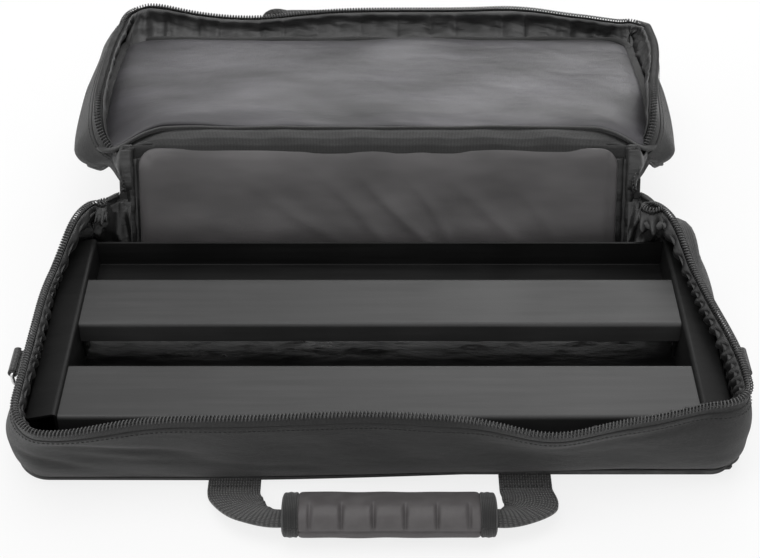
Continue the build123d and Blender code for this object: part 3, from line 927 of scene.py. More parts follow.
@dataclass
class SoftShell(ABC):
    """A soft wall with its zip, sewn round one panel, that bends over to the next body."""

    form: CaseForm
    finish: Finishes
    name: str
    plies: Plies
    crossing: Crossing
    steps: int
    rows: int
    tape_from: float
    tail: float = 10.0

    @abstractmethod
    def surface(self, line: Outline, t: Array, depth: Array | float, folds: float = 0.0) -> Array:
        """The wall, in the posture in which the case stands open.

        Args:
            line: The plan.
            t: Shares of the height, 0 at the panel and 1 at the rim.
            depth: How far in from the outer face, one number or one for each t.
            folds: Depth of the lining's folds, in mm.

        Returns:
            A grid of points, along the wall by up the wall.
        """

    def at_share(self, line: Outline, share: float, depth: float) -> Array:
        """One line of points along the wall, at a share of its height."""
        return self.surface(line, np.array([share]), depth)[:, 0]

    def ply(
        self, piece: str, line: Outline, t: Array, depths: tuple, look: tuple, node: str, folds: float = 0.0
    ) -> Piece:
        """Make one ply of the wall.

        Args:
            piece: The ply's name, without the shell's.
            line: The plan.
            t: Shares of the height.
            depths: Depth of its two faces.
            look: Its finish and a slot name.
            node: The CAD node that it replaces, without the shell's name.
            folds: Depth of its folds, in mm.

        Returns:
            The new piece.
        """
        made = slab(f"{self.name}_{piece}", *(self.surface(line, t, depth, folds) for depth in depths))
        attach(made, *look, self.crossing, f"{self.name}_{node}")
        return made

    def build_walls(self, lining: bpy.types.Material) -> None:
        """Make the outer cloth, the zip's tape, the foam and the lining, whose finish is given."""
        finish, plies = self.finish, self.plies
        line = self.form.outline(self.steps, self.tail)
        t = np.linspace(0.0, 1.0, self.rows)
        low = t * (self.tape_from + plies.lap)
        self.ply("outer_wall", line, low, (0.0, plies.thick), (finish.outer, "outer_fabric"), "gusset_fabric")
        high = self.tape_from + (1.0 - self.tape_from) * np.linspace(0.0, 1.0, plies.tape_rows)
        self.ply("zip_band", line, high, plies.tape, (finish.tape, "zip_tape"), "zip_tape")
        inside, faces = plies.foam_low + plies.foam_span * t, (plies.foam_from, plies.foam_deep)
        foam = self.ply("wall_padding", line, inside, faces, (finish.foam, "foam"), "gusset_foam")
        up = plies.lining_low + plies.lining_span * np.linspace(0.0, 1.0, plies.lining_rows)
        roll = plies.lip + plies.roll * (1.0 - np.exp(-(1.0 - up) / plies.roll_share))
        fine, faces = self.form.outline(self.steps * 2, self.tail), (roll, roll + plies.lining_thick)
        self.ply("wall_lining", fine, up, faces, (lining, "lining"), "gusset_lining", plies.folds)

    def build_zip(self, line: Outline, path: Array, outward: Array) -> None:
        """Make the zip's coil and the stitches under its tape.

        Args:
            line: The plan.
            path: Middle of the coil.
            outward: Direction away from the case at each point of the zip.
        """
        seam = self.at_share(line, self.tape_from - self.plies.seam_down, self.plies.seam_deep)
        teeth = coil(f"{self.name}_zip_teeth", path, outward)
        attach(teeth, self.finish.coil, "zip_coil", self.crossing, f"{self.name}_zip_coil")
        stitches = stitch_row(f"{self.name}_seam_stitches", seam, outward, length=self.plies.stitch)
        attach(stitches, self.finish.thread, "zip_tape", self.crossing)


# ---------------------------------------------------------------------- tray
@dataclass
class TrayShell(SoftShell):
    """The tray's soft walls, floor and zip, which bend into the back panel at the rear corners.

    Ramps and bells named after a side read x or y, those named after a run read the way to the
    nearer end of the zip, both in mm, and those named after a rise read shares of the height.
    """

    name: str = "tray"
    plies: Plies = Plies(
        lap=0.01, foam_low=0.03, foam_span=0.9, foam_deep=7.4, foam_fill=0.9, lining_low=0.02,
        lining_span=0.965, lining_rows=34, lip=1.9, roll=7.1, roll_share=0.07, folds=1.0,
        coil_deep=0.9, seam_down=0.035, stitch=2.2, piping_deep=-0.7,
    )
    crossing: Crossing = Crossing("tray", "back_panel", (52.0, 13.9), (148.6, 39.8))
    steps: int = 420
    rows: int = 26
    tape_from: float = 0.885
    foot_height: float = 1.6
    rim_height: float = 67.6
    # How far the zip line is pulled in at the left and right, and its sags along the front.
    left_pull: float = 10.0
    left_rear_pull: float = 5.0
    left_rear_side: Ramp = Ramp(0.0, 90.0)
    right_front_pull: float = 4.0
    right_pull: float = 22.0
    right_rear_side: Ramp = Ramp(-75.0, 130.0)
    sag_side: Ramp = Ramp(55.0, 50.0)
    sags: tuple[Triple, ...] = (
        (-15.0, -228.0, 48.0), (-15.75, 120.0, 42.0), (4.5, -12.0, 62.0), (15.0, 246.0, 42.0)
    )
    # The wall's lean, bulge, dents and creases, and where the bulge and dents fade.
    lean_rise: Ramp = Ramp(0.5, 0.5)
    bulge: float = 3.2
    dent: float = 1.3
    calm_run: Ramp = Ramp(0.0, 50.0)
    ring_run: Bell = Bell(195.3, 30.0)
    flat_side: Ramp = Ramp(60.0, 200.0)
    creases: tuple[tuple[float, ...], ...] = (
        (285.0, 430.0, 50.0, 0.14, 2.6), (262.0, 345.0, 40.0, 0.3, 2.2),
        (300.0, 520.0, 34.0, 0.07, 1.4), (640.0, 790.0, 44.0, -0.1, 1.6),
    )
    # How far the rear corners are pinched in.
    left_corner: float = 32.0
    right_corner: float = 40.0
    corner_run: Bell = Bell(34.0, 44.0)
    corner_start_run: Ramp = Ramp(0.0, 10.0)
    corner_rise: Ramp = Ramp(0.3, 0.6)
    # How far the foot is rounded under, most at the right of the front.
    foot_round: float = 6.0
    foot_front_side: Ramp = Ramp(88.0, 30.0)
    foot_right_side: Ramp = Ramp(-130.0, 340.0)
    # The lining's folds: the fans at the rear corners, and the gathers below the rim.
    fan_run: Bell = Bell(26.0, 46.0)
    gather_start_rise: Ramp = Ramp(0.4, 0.3)
    gather_end_rise: Ramp = Ramp(0.9, 0.08)
    # The board, and the gaps that the lining and the outer face keep from it, shut and leant.
    board_half: float = 254.0
    board_front: float = -101.3
    board_rear: float = 98.7
    board_top: float = 54.5
    board_round: float = 7.0
    gaps_shut: tuple[float, float] = (-5.0, 0.6)
    gaps_open: tuple[float, float] = (0.7, 2.6)
    gap_fade: float = 45.0
    gap_fade_height: float = 9.0
    most_moved: float = 25.0
    lining_depth: float = 9.3
    # The rounds that settle the leant corners, and the heights by the floor that don't lean.
    settle_rounds: int = 60
    floor_height: Ramp = Ramp(2.0, 26.0)

    def rim(self, line: Outline) -> tuple[Array, Array]:
        """The zip line in plan: pulled in at both sides, sagging out along the front."""
        end = self.form.zip_end
        half = self.form.width / 2
        left = self.left_pull + self.left_rear_pull * self.left_rear_side(line.y)
        grown = (self.right_pull - self.right_front_pull) * self.right_rear_side(line.y)
        right = self.right_front_pull + grown
        pull = np.where(line.x < 0, left, right)
        wide = np.maximum(np.abs(line.x) - end, 0.0) * (half - pull - end) / (half - end)
        x = np.sign(line.x) * (np.minimum(np.abs(line.x), end) + wide)
        return x, line.y + bells(line.x, self.sags) * self.sag_side(-line.y)

    def surface(self, line: Outline, t: Array, depth: Array | float, folds: float = 0.0) -> Array:
        """The wall as it stands when shut, then leant at the rear corners.

        Each point lies between the foot and the rim; the wall stands upright up to the board's
        height and leans in above it. A half sine wave of bulge and soft dents are added outwards,
        and folds along the lining are sine waves that fan out from the rear corners. Each crease is
        a bell round a slanting line: its start and end along the wall, its height, its fall per mm
        and its depth.

        Args:
            line: The plan.
            t: Shares of the height, 0 at the foot and 1 at the rim.
            depth: How far in from the outer face, one number or one for each t.
            folds: Depth of the lining's folds, in mm.

        Returns:
            A grid of points, along the wall by up the wall.
        """
        t = t[None, :]
        base_x, base_y = line.at(1.0)
        rim_x, rim_y = self.rim(line)
        lean = self.lean_rise(t) * 0.9 + 0.1 * t
        near = line.near
        x = between(base_x[:, None], rim_x[:, None], lean)
        y = between(base_y[:, None], rim_y[:, None], lean)
        z = self.foot_height + (self.rim_height - self.foot_height) * t + 0.0 * x
        s = line.s[:, None] + 0.0 * z
        soft = np.sin(math.pi * np.clip(t, 0, 1)) ** 0.8
        calm = self.calm_run(near) * (1.0 - self.ring_run(near))
        side = 1.0 - self.flat_side(line.x)
        out = (self.bulge * side * calm)[:, None] * soft
        out = out + self.dent * soft * calm[:, None] * ripple(s, z * 1.6, 75.0, 11)
        out = out - self.foot(line)[:, None] * np.clip(1.0 - t / 0.36, 0.0, 1.0) ** 2
        corner = np.where(line.x < 0, self.left_corner, self.right_corner)
        corner = corner * self.corner_run(near) * self.corner_start_run(near)
        out = out - corner[:, None] * (0.05 + 0.95 * self.corner_rise(t))
        for start, end, height, fall, deep in self.creases:
            fade = smoothstep((s - start) / 30.0) * smoothstep((end - s) / 50.0)
            out = out - deep * fade * bump(z, height - fall * (s - start), 3.6)
        if folds > 0.0:
            rear = self.fan_run(near)[:, None] + 0 * s
            hand = np.sign(s - line.total / 2)
            fan = np.sin(s * 0.5 + (z - 30.0) * 0.2 * hand + 0.8 * ripple(s, z, 60.0, 6)) * rear * 2.8
            lip = self.gather_start_rise(t) * (1.0 - self.gather_end_rise(t))
            gather = np.sin(s * 0.55 + 1.6 * ripple(s, z * 0.6, 45.0, 5))
            gather = gather * lip * (1.0 + 0.9 * (line.x > 200.0))[:, None]
            out = out + folds * (soft * (fan + 1.2 * ripple(s, z * 1.5, 34.0, 23)) + 1.5 * gather)
        points = self.beside_board(line.pushed(x, y, z, out - depth), depth, *self.gaps_shut)
        return self.beside_board(self.settle(points), depth, *self.gaps_open)

    def beside_board(self, points: Array, depth: Array | float, inner: float, outer: float) -> Array:
        """Press the wall's layers together where they would reach into the board.

        The gap is the distance from the board's rectangle seen from above, counted below zero
        inside it. A layer between the lining and the outer face keeps its share of both gaps, and
        what lacks is moved out, turned smoothly from sideways to backwards round the corner. Above
        the board's top the need fades, so that the rim can lean over it.

        Args:
            points: A grid of points of one layer.
            depth: How far the layer lies in from the outer face.
            inner: The gap that the lining keeps, in mm.
            outer: The gap that the outer face keeps, in mm.

        Returns:
            The points, clear of the board.
        """
        wide = np.abs(points[..., 0]) - self.board_half
        deep = np.maximum(points[..., 1] - self.board_rear, self.board_front - points[..., 1])
        gap = np.where((wide > 0) & (deep > 0), np.hypot(wide, deep), np.maximum(wide, deep))
        need = inner + (outer - inner) * (1.0 - depth / self.lining_depth)
        need = need - self.gap_fade * Ramp(self.board_top, self.gap_fade_height)(points[..., 2])
        lack = np.clip(need - gap, 0.0, self.most_moved)
        a, b = (np.exp(np.clip(way, -40, 40) / self.board_round) for way in (wide, deep))
        size = np.hypot(a, b)
        moved = points.copy()
        moved[..., 0] += lack * a / size * np.sign(points[..., 0])
        moved[..., 1] += lack * b / size * np.sign(points[..., 1])
        return moved

    def foot(self, line: Outline) -> Array:
        """How far the foot of the wall is drawn in: little at the sides, most at the front's right."""
        front = self.foot_front_side(-line.y) * (0.45 + 1.7 * self.foot_right_side(line.x))
        return self.foot_round * (0.6 + front) * self.calm_run(line.near)

    def settle(self, shut: Array) -> Array:
        """Lean the rear corners so that each point's share agrees with where it comes to rest."""
        share = np.zeros(shut.shape[:-1])
        for _ in range(self.settle_rounds):
            share = self.crossing.share(self.form.lean_back(shut, share))
        leant = self.form.lean_back(shut, share)
        low = self.floor_height(shut[..., 2])[..., None]
        leant[..., 2:] = leant[..., 2:] * low + np.maximum(shut[..., 2:], 1.2) * (1 - low)
        return leant

    def build(self) -> None:
        """Make the walls, zip, piping, floor and base, and let the walls bend at the rear corners."""
        self.build_walls(self.finish.lining)
        line = self.form.outline(self.steps)
        rim = self.at_share(line, 1.0, self.plies.coil_deep)
        self.build_zip(line, rim + [0.0, 0.0, 1.0], line.outward)
        path = self.at_share(line, 0.0, self.plies.piping_deep)
        rise = np.zeros_like(path) + [0.0, 0.0, 1.5]
        piping = closed_tube("tray_piping", tube_grid(path, line.outward * 1.5, rise, 10))
        attach(piping, self.finish.piping, "piping", "tray", "tray_seam_piping")
        self.build_floor()
        log.info("tray walls, zip, piping and floor are made")

    def build_floor(self) -> None:
        """The wrinkled floor lining and the outer cloth under the case, both wide flat sheets."""
        low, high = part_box("tray_floor_lining")
        x0, y0, top = low.x / MM, low.y / MM, high.z / MM
        x1, y1 = high.x / MM, high.y / MM
        x, y = lattice((x0, x1, 170), (y0, y1, 80))
        edge = np.minimum(np.minimum(x - x0, x1 - x), np.minimum(y - y0, y1 - y))
        calm = smoothstep(edge / 25.0)
        waves = 0.8 * ripple(x, y * 1.8, 60.0, 41) + 0.35 * ripple(x * 1.5, y * 2.5, 24.0, 42)
        z = top - 0.75 + np.clip(waves * calm, -0.3, 0.9) * 0.9
        x, y = round_corners(x, y, (x0, x1, y0, y1), 22.0)
        upper = np.stack([x, y, z], axis=-1)
        floor = slab("tray_floor_cloth", upper + [0, 0, 0.35], upper - [0, 0, 0.35])
        attach(floor, self.finish.lining, "lining", "tray", "tray_floor_lining")

        half, deep = self.form.width / 2 - 4.2, self.form.depth / 2
        x, y = lattice((-half, half, 150), (-deep, deep - 0.4, 70))
        soft = 0.25 * ripple(x, y, 90.0, 51)
        x, y = round_corners(x, y, (-half, half, -deep, deep - 0.4), 30.0)
        drawn = 6.6 + 6.2 * smoothstep((x + 150.0) / 300.0)
        y = y + drawn * (deep - y) / (2 * deep)
        lower = np.stack([x, y, 0.35 + 0.3 * (soft + 0.3)], axis=-1)
        base = slab("tray_base_cloth", lower + [0, 0, 0.7], lower)
        attach(base, self.finish.outer, "outer_fabric", "tray", "tray_base_fabric")


def round_corners(x: Array, y: Array, box: tuple[float, ...], radius: float) -> tuple[Array, Array]:
    """Pull a rectangular grid in at its four corners.

    A point that lies beyond a corner's circle along the ray from the circle's middle is moved onto
    it, in proportion to how near the corner it lies.

    Args:
        x: Grid of x.
        y: Grid of y.
        box: Lowest and highest x, then lowest and highest y.
        radius: The corners' radius.

    Returns:
        The moved x and y.
    """
    x0, x1, y0, y1 = box
    cx = np.clip(x, x0 + radius, x1 - radius)
    cy = np.clip(y, y0 + radius, y1 - radius)
    dx, dy = x - cx, y - cy
    reach = np.maximum(np.abs(dx), np.abs(dy))
    shrink = reach / np.maximum(np.hypot(dx, dy), TINY)
    corner = (np.abs(dx) > TINY) & (np.abs(dy) > TINY)
    shrink = np.where(corner, shrink, 1.0)
    return cx + dx * shrink, cy + dy * shrink


# ---------------------------------------------------------------------- padded panels
@dataclass(frozen=True)
class Inflation:
    """How a padded panel is blown up: a closed skin, air inside and cut a little too large."""

    pressure: float = 4.0
    cap: float = 6.0
    slack: float = 0.02
    frames: int = 20
    quality: int = 6
    mass: float = 0.2
    stiffness: float = 0.4

    def blow(self, obj: Piece) -> Piece:
        """Run the cloth simulation, cap each corner's way and keep the result in the mesh.

        Args:
            obj: The closed skin, lying flat with its underside at z = 0.

        Returns:
            The same object, crowned.
        """
        start = corners_of(obj.data)
        cloth = obj.modifiers.new("inflate", "CLOTH")
        settings = cloth.settings
        settings.quality = self.quality
        settings.mass = self.mass
        settings.bending_stiffness = self.stiffness
        settings.use_pressure = True
        settings.uniform_pressure_force = self.pressure
        settings.shrink_min = -self.slack
        settings.effector_weights.gravity = 0.0
        cloth.point_cache.frame_start, cloth.point_cache.frame_end = 1, self.frames
        for step in range(1, self.frames + 1):
            bpy.context.scene.frame_set(step)
        moved = corners_of(obj.evaluated_get(bpy.context.evaluated_depsgraph_get()).data) - start
        obj.modifiers.remove(cloth)
        bpy.context.scene.frame_set(1)
        way = np.maximum(np.linalg.norm(moved, axis=-1, keepdims=True), TINY)
        moved = np.nan_to_num(moved) * np.minimum(1.0, self.cap / way)
        set_corners(obj, start + moved)
        return obj


def smooth_once(obj: Piece) -> None:
    """One level of subdivision, the same on screen and in a render."""
    rounded = obj.modifiers.new("rounded", "SUBSURF")
    rounded.levels = rounded.render_levels = 1


@dataclass(frozen=True)
class PadForm:
    """A flat pad's plan and crown, in its panel's own plane."""

    x0: float
    x1: float
    y0: float
    y1: float
    radius: float
    edge: float
    crown: float
    step: float = 4.0

    def skin(self, name: str) -> Piece:
        """A closed skin that swells from its edge height to its crown.

        The upper face is edge + crown (1 - |u|^5) (1 - |v|^4), with u and v from -1 to 1 across it.
        """
        nx, ny = int((self.x1 - self.x0) / self.step), int((self.y1 - self.y0) / self.step)
        u, v = lattice((-1, 1, nx), (-1, 1, ny))
        x = (self.x0 + self.x1) / 2 + u * (self.x1 - self.x0) / 2
        y = (self.y0 + self.y1) / 2 + v * (self.y1 - self.y0) / 2
        x, y = round_corners(x, y, (self.x0, self.x1, self.y0, self.y1), self.radius)
        z = self.edge + self.crown * (1 - np.abs(u) ** 5) * (1 - np.abs(v) ** 4)
        return slab(name, at_points(x, y, z), at_points(x, y, 0 * z))

    def groove(self, points: Array, inset: float, width: float, depth: float) -> Array:
        """Press a seam into the upper face, a given way inside its right edge."""
        press = depth * bump(self.x1 - points[:, 0], inset, width) * smoothstep(points[:, 2] / self.edge)
        return points - at_points(0 * press, 0 * press, press)


@dataclass
class BackPanel:
    """The padded panel that stands between the tray and the lid."""

    form: CaseForm
    finish: Finishes
    pad: PadForm = PadForm(x0=-202.0, x1=199.0, y0=10.5, y1=110.5, radius=18.0, edge=2.8, crown=2.6)
    air: Inflation = Inflation(cap=2.4, slack=0.015)
    body: str = "back_panel"
    lining_from: float = 6.6
    lining_deep: float = 92.6
    folds: tuple[tuple[float, float, float, float], ...] = (
        (-62.0, 0.95, 6.0, 1.5), (-22.0, 0.8, 4.5, 2.0), (14.0, 0.62, 4.0, 1.8), (46.0, 0.9, 7.0, 1.2),
        (-128.0, 1.3, 8.0, 0.9), (96.0, 0.7, 5.0, 0.8),
    )

    def leaf(self, name: str, x: Array, up: Array, deep: Array, deeper: Array) -> Piece:
        """A piece that lies on the panel between two depths in from its outer face."""
        return slab(name, self.form.on_panel(x, up, deep), self.form.on_panel(x, up, deeper))

    def build(self) -> None:
        """Make the outer cloth, the padding, the lining and the blown-up pad."""
        half, height = self.form.panel_half, self.form.height
        x, up = lattice((-half, half, 120), (0.4, height - 0.4, 34))
        middle = np.sin(math.pi * up / height) * (1 - (x / half) ** 8)
        dents = (1.4 * ripple(x, up * 1.4, 90.0, 61) - 1.2) * middle
        deep = -dents * 0.7 + smoothstep((np.abs(x) - half + 6.0) / 6.0) * 1.5
        cover = self.leaf("back_cover", x, up, deep, deep + 1.0)
        attach(cover, self.finish.outer, "outer_fabric", self.body, "back_outer_fabric")

        x, up = lattice((1.5 - half, half - 1.5, 70), (7.0, 98.6, 22))
        foam = self.leaf("back_padding", x, up, 5.2 + 0 * x, 2.0 + 0 * x)
        attach(foam, self.finish.foam, "foam", self.body, "back_foam")

        x, up = lattice((-half, half, 200), (self.lining_from, self.lining_from + self.lining_deep, 50))
        wrap = smoothstep((np.abs(x) - half + 7.0) / 7.0)
        waves = 0.5 * ripple(x, up, 26.0, 71) * smoothstep((np.abs(x) - 186.0) / 8.0)
        deep = 6.4 - 4.2 * wrap + waves * (1 - wrap)
        lining = self.leaf("back_lining_cloth", x, up, deep + 0.6, deep)
        attach(lining, self.finish.lining, "lining", self.body, "back_lining")
        self.build_pad()
        self.build_side_seams()
        self.build_end_tabs()
        log.info("back panel is made")

    def build_pad(self) -> None:
        """Blow the pad up flat, press its seam in and set it on the panel."""
        skin = self.air.blow(self.pad.skin("back_cushion"))
        points = self.pad.groove(corners_of(skin.data), 8.0, 1.8, 1.4)
        x, up, deep = points.T
        slant = self.creases(x, up) * smoothstep(deep / 3.0)
        deep = np.clip(deep + slant, 0.1, 12.0) + 7.1 - 1.2 * smoothstep((up - 98.0) / 12.0)
        set_corners(skin, self.form.on_panel(x, up, deep))
        attach(skin, self.finish.pad, "pad_fabric", self.body, "back_pad")
        smooth_once(skin)

    def creases(self, x: Array, up: Array) -> Array:
        """Long folds that run down to the right.

        Each fold, given by its start, slope, width and height, is a bell across its line, which
        bends slowly and dies away at its top.
        """
        total = 0.35 * ripple(x * 0.5, up, 60.0, 81)
        for start, slope, width, height in self.folds:
            across = (x - start) - slope * (100.0 - up) + 4.0 * np.sin(up / 17.0 + start)
            total = total + height * bump(across, 0.0, width) * smoothstep((100.0 - up) / 45.0)
        return total

    def build_side_seams(self) -> None:
        """The taped seams where the soft walls are sewn to the panel's two sides."""
        for side, side_name in SIDES:
            u, v = lattice((-1, 1, 13), (0, 1, 90))
            up = 2.0 + v * (self.form.height - 4.0)
            x = side * (self.form.panel_half + 1.2) + 4.0 * u + 0.5 * ripple(up, 0 * up, 26.0, 62)
            deep = 4.4 + 2.8 * (1 - u**2) + 0.4 * ripple(x, up, 18.0, 63)
            seam = self.leaf(f"side_seam_tape_{side_name}", x, up, deep, 1.3 + 0 * deep)
            attach(seam, self.finish.lining, "lining", self.body)

    def build_end_tabs(self) -> None:
        """The folded tabs of cloth over the two ends of the zip."""
        for side, side_name in SIDES:
            middle = side * (self.form.zip_end + self.form.panel_half) / 2
            u, v = lattice((-1, 1, 11), (-1, 1, 19))
            soft = 0.4 * (1 - u**6) * (1 - v**6)
            x, up = middle + 5.1 * u, 70.25 + 12.0 * v
            tab = self.leaf(f"zip_end_tab_cloth_{side_name}", x, up, 4.1 + soft * 1.5, 3.7 - 0 * soft)
            attach(tab, self.finish.tape, "zip_tape", self.body, f"zip_end_tab_{side_name}")


# ---------------------------------------------------------------------- lid
@dataclass
class LidShell(SoftShell):
    """The shallow lid, folded over behind the tray, with its walls folded at the hinge corners.

    Its ramps and bells are named as the tray's are, but the keep, corner and edge runs read the way
    from the hinge, and the inset run reads the way from the zip's left end.
    """

    name: str = "lid"
    plies: Plies = Plies(
        lap=0.02, foam_low=0.06, foam_span=0.86, foam_deep=6.6, foam_fill=0.85, lining_low=0.04,
        lining_span=0.93, lining_rows=26, lip=2.2, roll=6.6, roll_share=0.055, folds=0.9,
        coil_deep=0.3, seam_down=0.05, stitch=2.3, piping_deep=-0.6,
    )
    crossing: Crossing = Crossing("back_panel", "lid", (150.0, 95.0), (184.0, 95.0))
    steps: int = 420
    rows: int = 22
    tape_from: float = 0.74
    # The wall: its fold round the hinge corners, its rim's height, lean, bulge, dents and pouch.
    fold: float = 38.0
    rim_rise: float = 27.0
    end_rise: float = 39.3
    end_run: Ramp = Ramp(0.0, 18.0)
    lean_rise: Ramp = Ramp(0.25, 0.75)
    bulge: float = 3.5
    dent: float = 1.3
    calm_run: Ramp = Ramp(0.0, 55.0)
    pouch: float = 5.0
    pouch_run: Bell = Bell(88.0, 45.0)
    pouch_rise: Bell = Bell(0.33, 0.24)
    pouch_start_rise: Ramp = Ramp(0.0, 0.14)
    pouch_end_rise: Ramp = Ramp(0.68, 0.25)
    # How far both sides are drawn in, and the waist by the zip's ends.
    left_inset: float = 10.5
    right_inset: float = 18.5
    inset_side: Ramp = Ramp(200.0, 50.0)
    inset_run: Bell = Bell(318.0, 50.0)
    inset_rise: Ramp = Ramp(0.35, 0.6)
    waist: float = 13.0
    waist_run: Bell = Bell(22.0, 21.0)
    # The zip line: the share of its reach kept at each side, its far side and its waves.
    left_keep_run: Bell = Bell(150.0, 80.0)
    right_keep_run: Ramp = Ramp(20.0, 150.0)
    far_pull: float = 14.0
    far_pull_side: Ramp = Ramp(55.0, 55.0)
    corner_pull: float = 11.0
    far_side: Ramp = Ramp(80.0, 35.0)
    waves: tuple[Triple, ...] = ((-8.0, -125.0, 60.0), (3.0, 150.0, 45.0), (5.0, -215.0, 28.0))
    right_sides: tuple[Ramp, Ramp] = (Ramp(190.0, 50.0), Ramp(105.0, 70.0))
    # The drop of the hinge corners and of the rim beside them, and the droop of the side edges.
    corner_drop: float = 30.0
    corner_side: Ramp = Ramp(195.0, 55.0)
    corner_run: Ramp = Ramp(35.0, 70.0)
    sink_run: Ramp = Ramp(0.0, 16.0)
    rim_drop: float = 38.0
    rim_run: Bell = Bell(31.0, 32.0)
    rim_start_run: Ramp = Ramp(3.0, 17.0)
    edge_droop: float = 9.0
    edge_side: Ramp = Ramp(150.0, 118.0)
    edge_run: Bell = Bell(50.0, 60.0)
    # The satin panel's pad, and the profile of the band over the hinge.
    pad: PadForm = PadForm(
        x0=-239.0, x1=233.0, y0=13.5, y1=208.0, radius=20.0, edge=2.4, crown=4.0, step=4.4
    )
    air: Inflation = Inflation(cap=3.0)
    band_y: tuple[float, ...] = (158.0, 162.5, 169.0, 177.5, 189.0)
    band_z: tuple[float, ...] = (97.5, 102.3, 105.2, 105.6, 103.6)

    def droop(self, x: Array, run: Array) -> Array:
        """How far the lid's side edges hang below its middle, in mm."""
        return self.edge_droop * self.edge_side(np.abs(x)) * self.edge_run(run)

    def hang(self, x: Array, run: Array) -> Array:
        """How far the two hinge corners sink under their own weight, in mm, straight down."""
        return self.corner_drop * self.corner_side(np.abs(x)) * (1.0 - self.corner_run(run))

    def slump(self, near: Array) -> Array:
        """The share of its drop that the zip line takes, most a thumb's width from the zip's ends."""
        return self.rim_run(near) * self.rim_start_run(near)

    def laid(self, x: Array, run: Array, rise: Array, share: float = 1.0) -> Array:
        """Points over the lid's panel, its hinge corners sunk by a share of their hang."""
        points = self.form.on_lid(x, run, rise)
        points[..., 2] -= share * self.hang(x, run)
        return points

    def rim(self, line: Outline) -> tuple[Array, Array, Array]:
        """The zip line: its plan, pulled in at the sides and the far edge, and its rise."""
        end, run = self.form.zip_end, self.form.depth / 2 - line.y
        left = 0.43 + 0.09 * self.left_keep_run(run)
        right = 0.29 + 0.38 * self.right_keep_run(run)
        keep = np.where(line.x < 0, left, right)
        across = np.abs(line.x)
        x = np.sign(line.x) * (np.minimum(across, end) + np.maximum(across - end, 0) * keep)
        y = line.y + self.far_pull * self.far_pull_side(-line.y)
        corner = self.corner_pull * bump(line.s, line.total - 330.0, 42.0)
        x, y = x - line.nx * corner, y - line.ny * corner
        rise = self.rim_rise + (self.end_rise - self.rim_rise) * (1 - self.end_run(line.near))
        outer, inner = self.right_sides
        wave = bells(line.x, self.waves, 5.0) - 5.0 * outer(line.x) - 4.5 * inner(line.x)
        return x, y, rise + self.far_side(-line.y) * wave

    def surface(self, line: Outline, t: Array, depth: Array | float, folds: float = 0.0) -> Array:
        """The lid's wall, drawn shut and then folded open.

        The wall stands up from the panel's edge and leans in towards the rim; near the zip's ends
        each column of points turns by its own share of the opening, from 0 at the zip's end to 1
        one fold length round the corner. Its foot then sinks with the panel's hinge corners, and its
        rim slumps by its own drop.

        Args:
            line: The plan.
            t: Shares of the height, 0 at the panel and 1 at the rim.
            depth: How far in from the outer face, one number or one for each t.
            folds: Depth of the lining's pleats, in mm.

        Returns:
            A grid of points, along the wall by up the wall.
        """
        t = t[None, :]
        base_x, base_y = line.at(1.5)
        rim_x, rim_y, rise = self.rim(line)
        lean = self.lean_rise(t) * 0.85 + 0.15 * t
        near = line.near
        waist = self.waist * self.waist_run(near) * np.sign(line.x)
        x = between(base_x[:, None], rim_x[:, None], lean) - waist[:, None]
        y = between(base_y[:, None], rim_y[:, None], lean)
        share = smoothstep(near / self.fold)
        foot = 1.4 - (self.droop(line.x, self.form.depth / 2 - line.y) * share)[:, None]
        height = foot + (rise[:, None] - foot) * t
        s = line.s[:, None] + 0.0 * height
        soft = np.sin(math.pi * np.clip(t, 0, 1)) ** 0.7
        calm = self.calm_run(near)[:, None]
        out = self.bulge * soft * calm + self.dent * soft * calm * ripple(s, height * 2.0, 60.0, 91)
        belly = self.pouch_rise(t) * self.pouch_start_rise(t) * (1.0 - self.pouch_end_rise(t))
        out = out + self.pouch * self.pouch_run(near)[:, None] * belly
        out = out - 5.0 * calm * np.clip(1.0 - t / 0.32, 0.0, 1.0) ** 2
        narrow = np.where(line.x < 0, self.left_inset, self.right_inset)
        narrow = narrow * self.inset_side(np.abs(line.x)) * (1.0 + 1.3 * self.inset_run(line.s))
        out = out - narrow[:, None] * calm * (1.0 - 0.95 * self.inset_rise(t))
        if folds > 0.0:
            corner = np.maximum(bump(s, 310.0, 60.0), bump(s, line.total - 310.0, 60.0))
            pleat = (np.sin(s * 0.42 + 1.2 * ripple(s, height, 50.0, 7)) - 1.0) * (0.5 + 1.1 * corner)
            ridge = 3.4 * (1.0 - np.abs(np.sin(s * 0.098 + 0.9 * ripple(s, 0 * s, 80.0, 8)))) ** 3
            out = out + folds * soft * calm * (pleat - ridge + 0.7 * ripple(s, height * 2.0, 26.0, 97))
            far = self.far_side(-line.y)[:, None]
            out = out - far * 17.0 * (1.0 - smoothstep((t + 0.05 * ripple(s, 0 * s, 22.0, 9)) / 0.8))
        shut = line.pushed(x, y, self.form.height - height, out - depth)
        points = self.form.open_lid(shut, share[:, None])
        sunk = self.hang(line.x, self.form.depth / 2 - line.y) * self.sink_run(near)
        top = smoothstep(t)
        points[..., 2] -= sunk[:, None] * (1.0 - top) + self.rim_drop * self.slump(near)[:, None] * top
        return points

    def build(self) -> None:
        """Make the walls, zip, piping, panel, lining and binding, and the band over the hinge."""
        # The lid's lining takes the lighter copy of the lining, whose extra lightness is painted light.
        self.build_walls(self.finish.lit_lid_lining)
        line = self.form.outline(self.steps)
        rim = self.at_share(line, 1.0, self.plies.coil_deep)
        self.build_zip(line, rim, unit(rim - self.at_share(line, 1.0, 3.0)))
        line = self.form.outline(self.steps, self.tail)
        foot = self.at_share(line, 0.0, self.plies.piping_deep)
        out = self.at_share(line, 0.0, self.plies.piping_deep - 1.5) - foot
        along = unit(np.gradient(foot, axis=0))
        piping = closed_tube("lid_piping", tube_grid(foot, out, np.cross(along, out), 10))
        attach(piping, self.finish.piping, "piping", self.crossing, "lid_seam_piping")
        self.build_panel()
        self.build_hinge_band()
        log.info("lid is made")

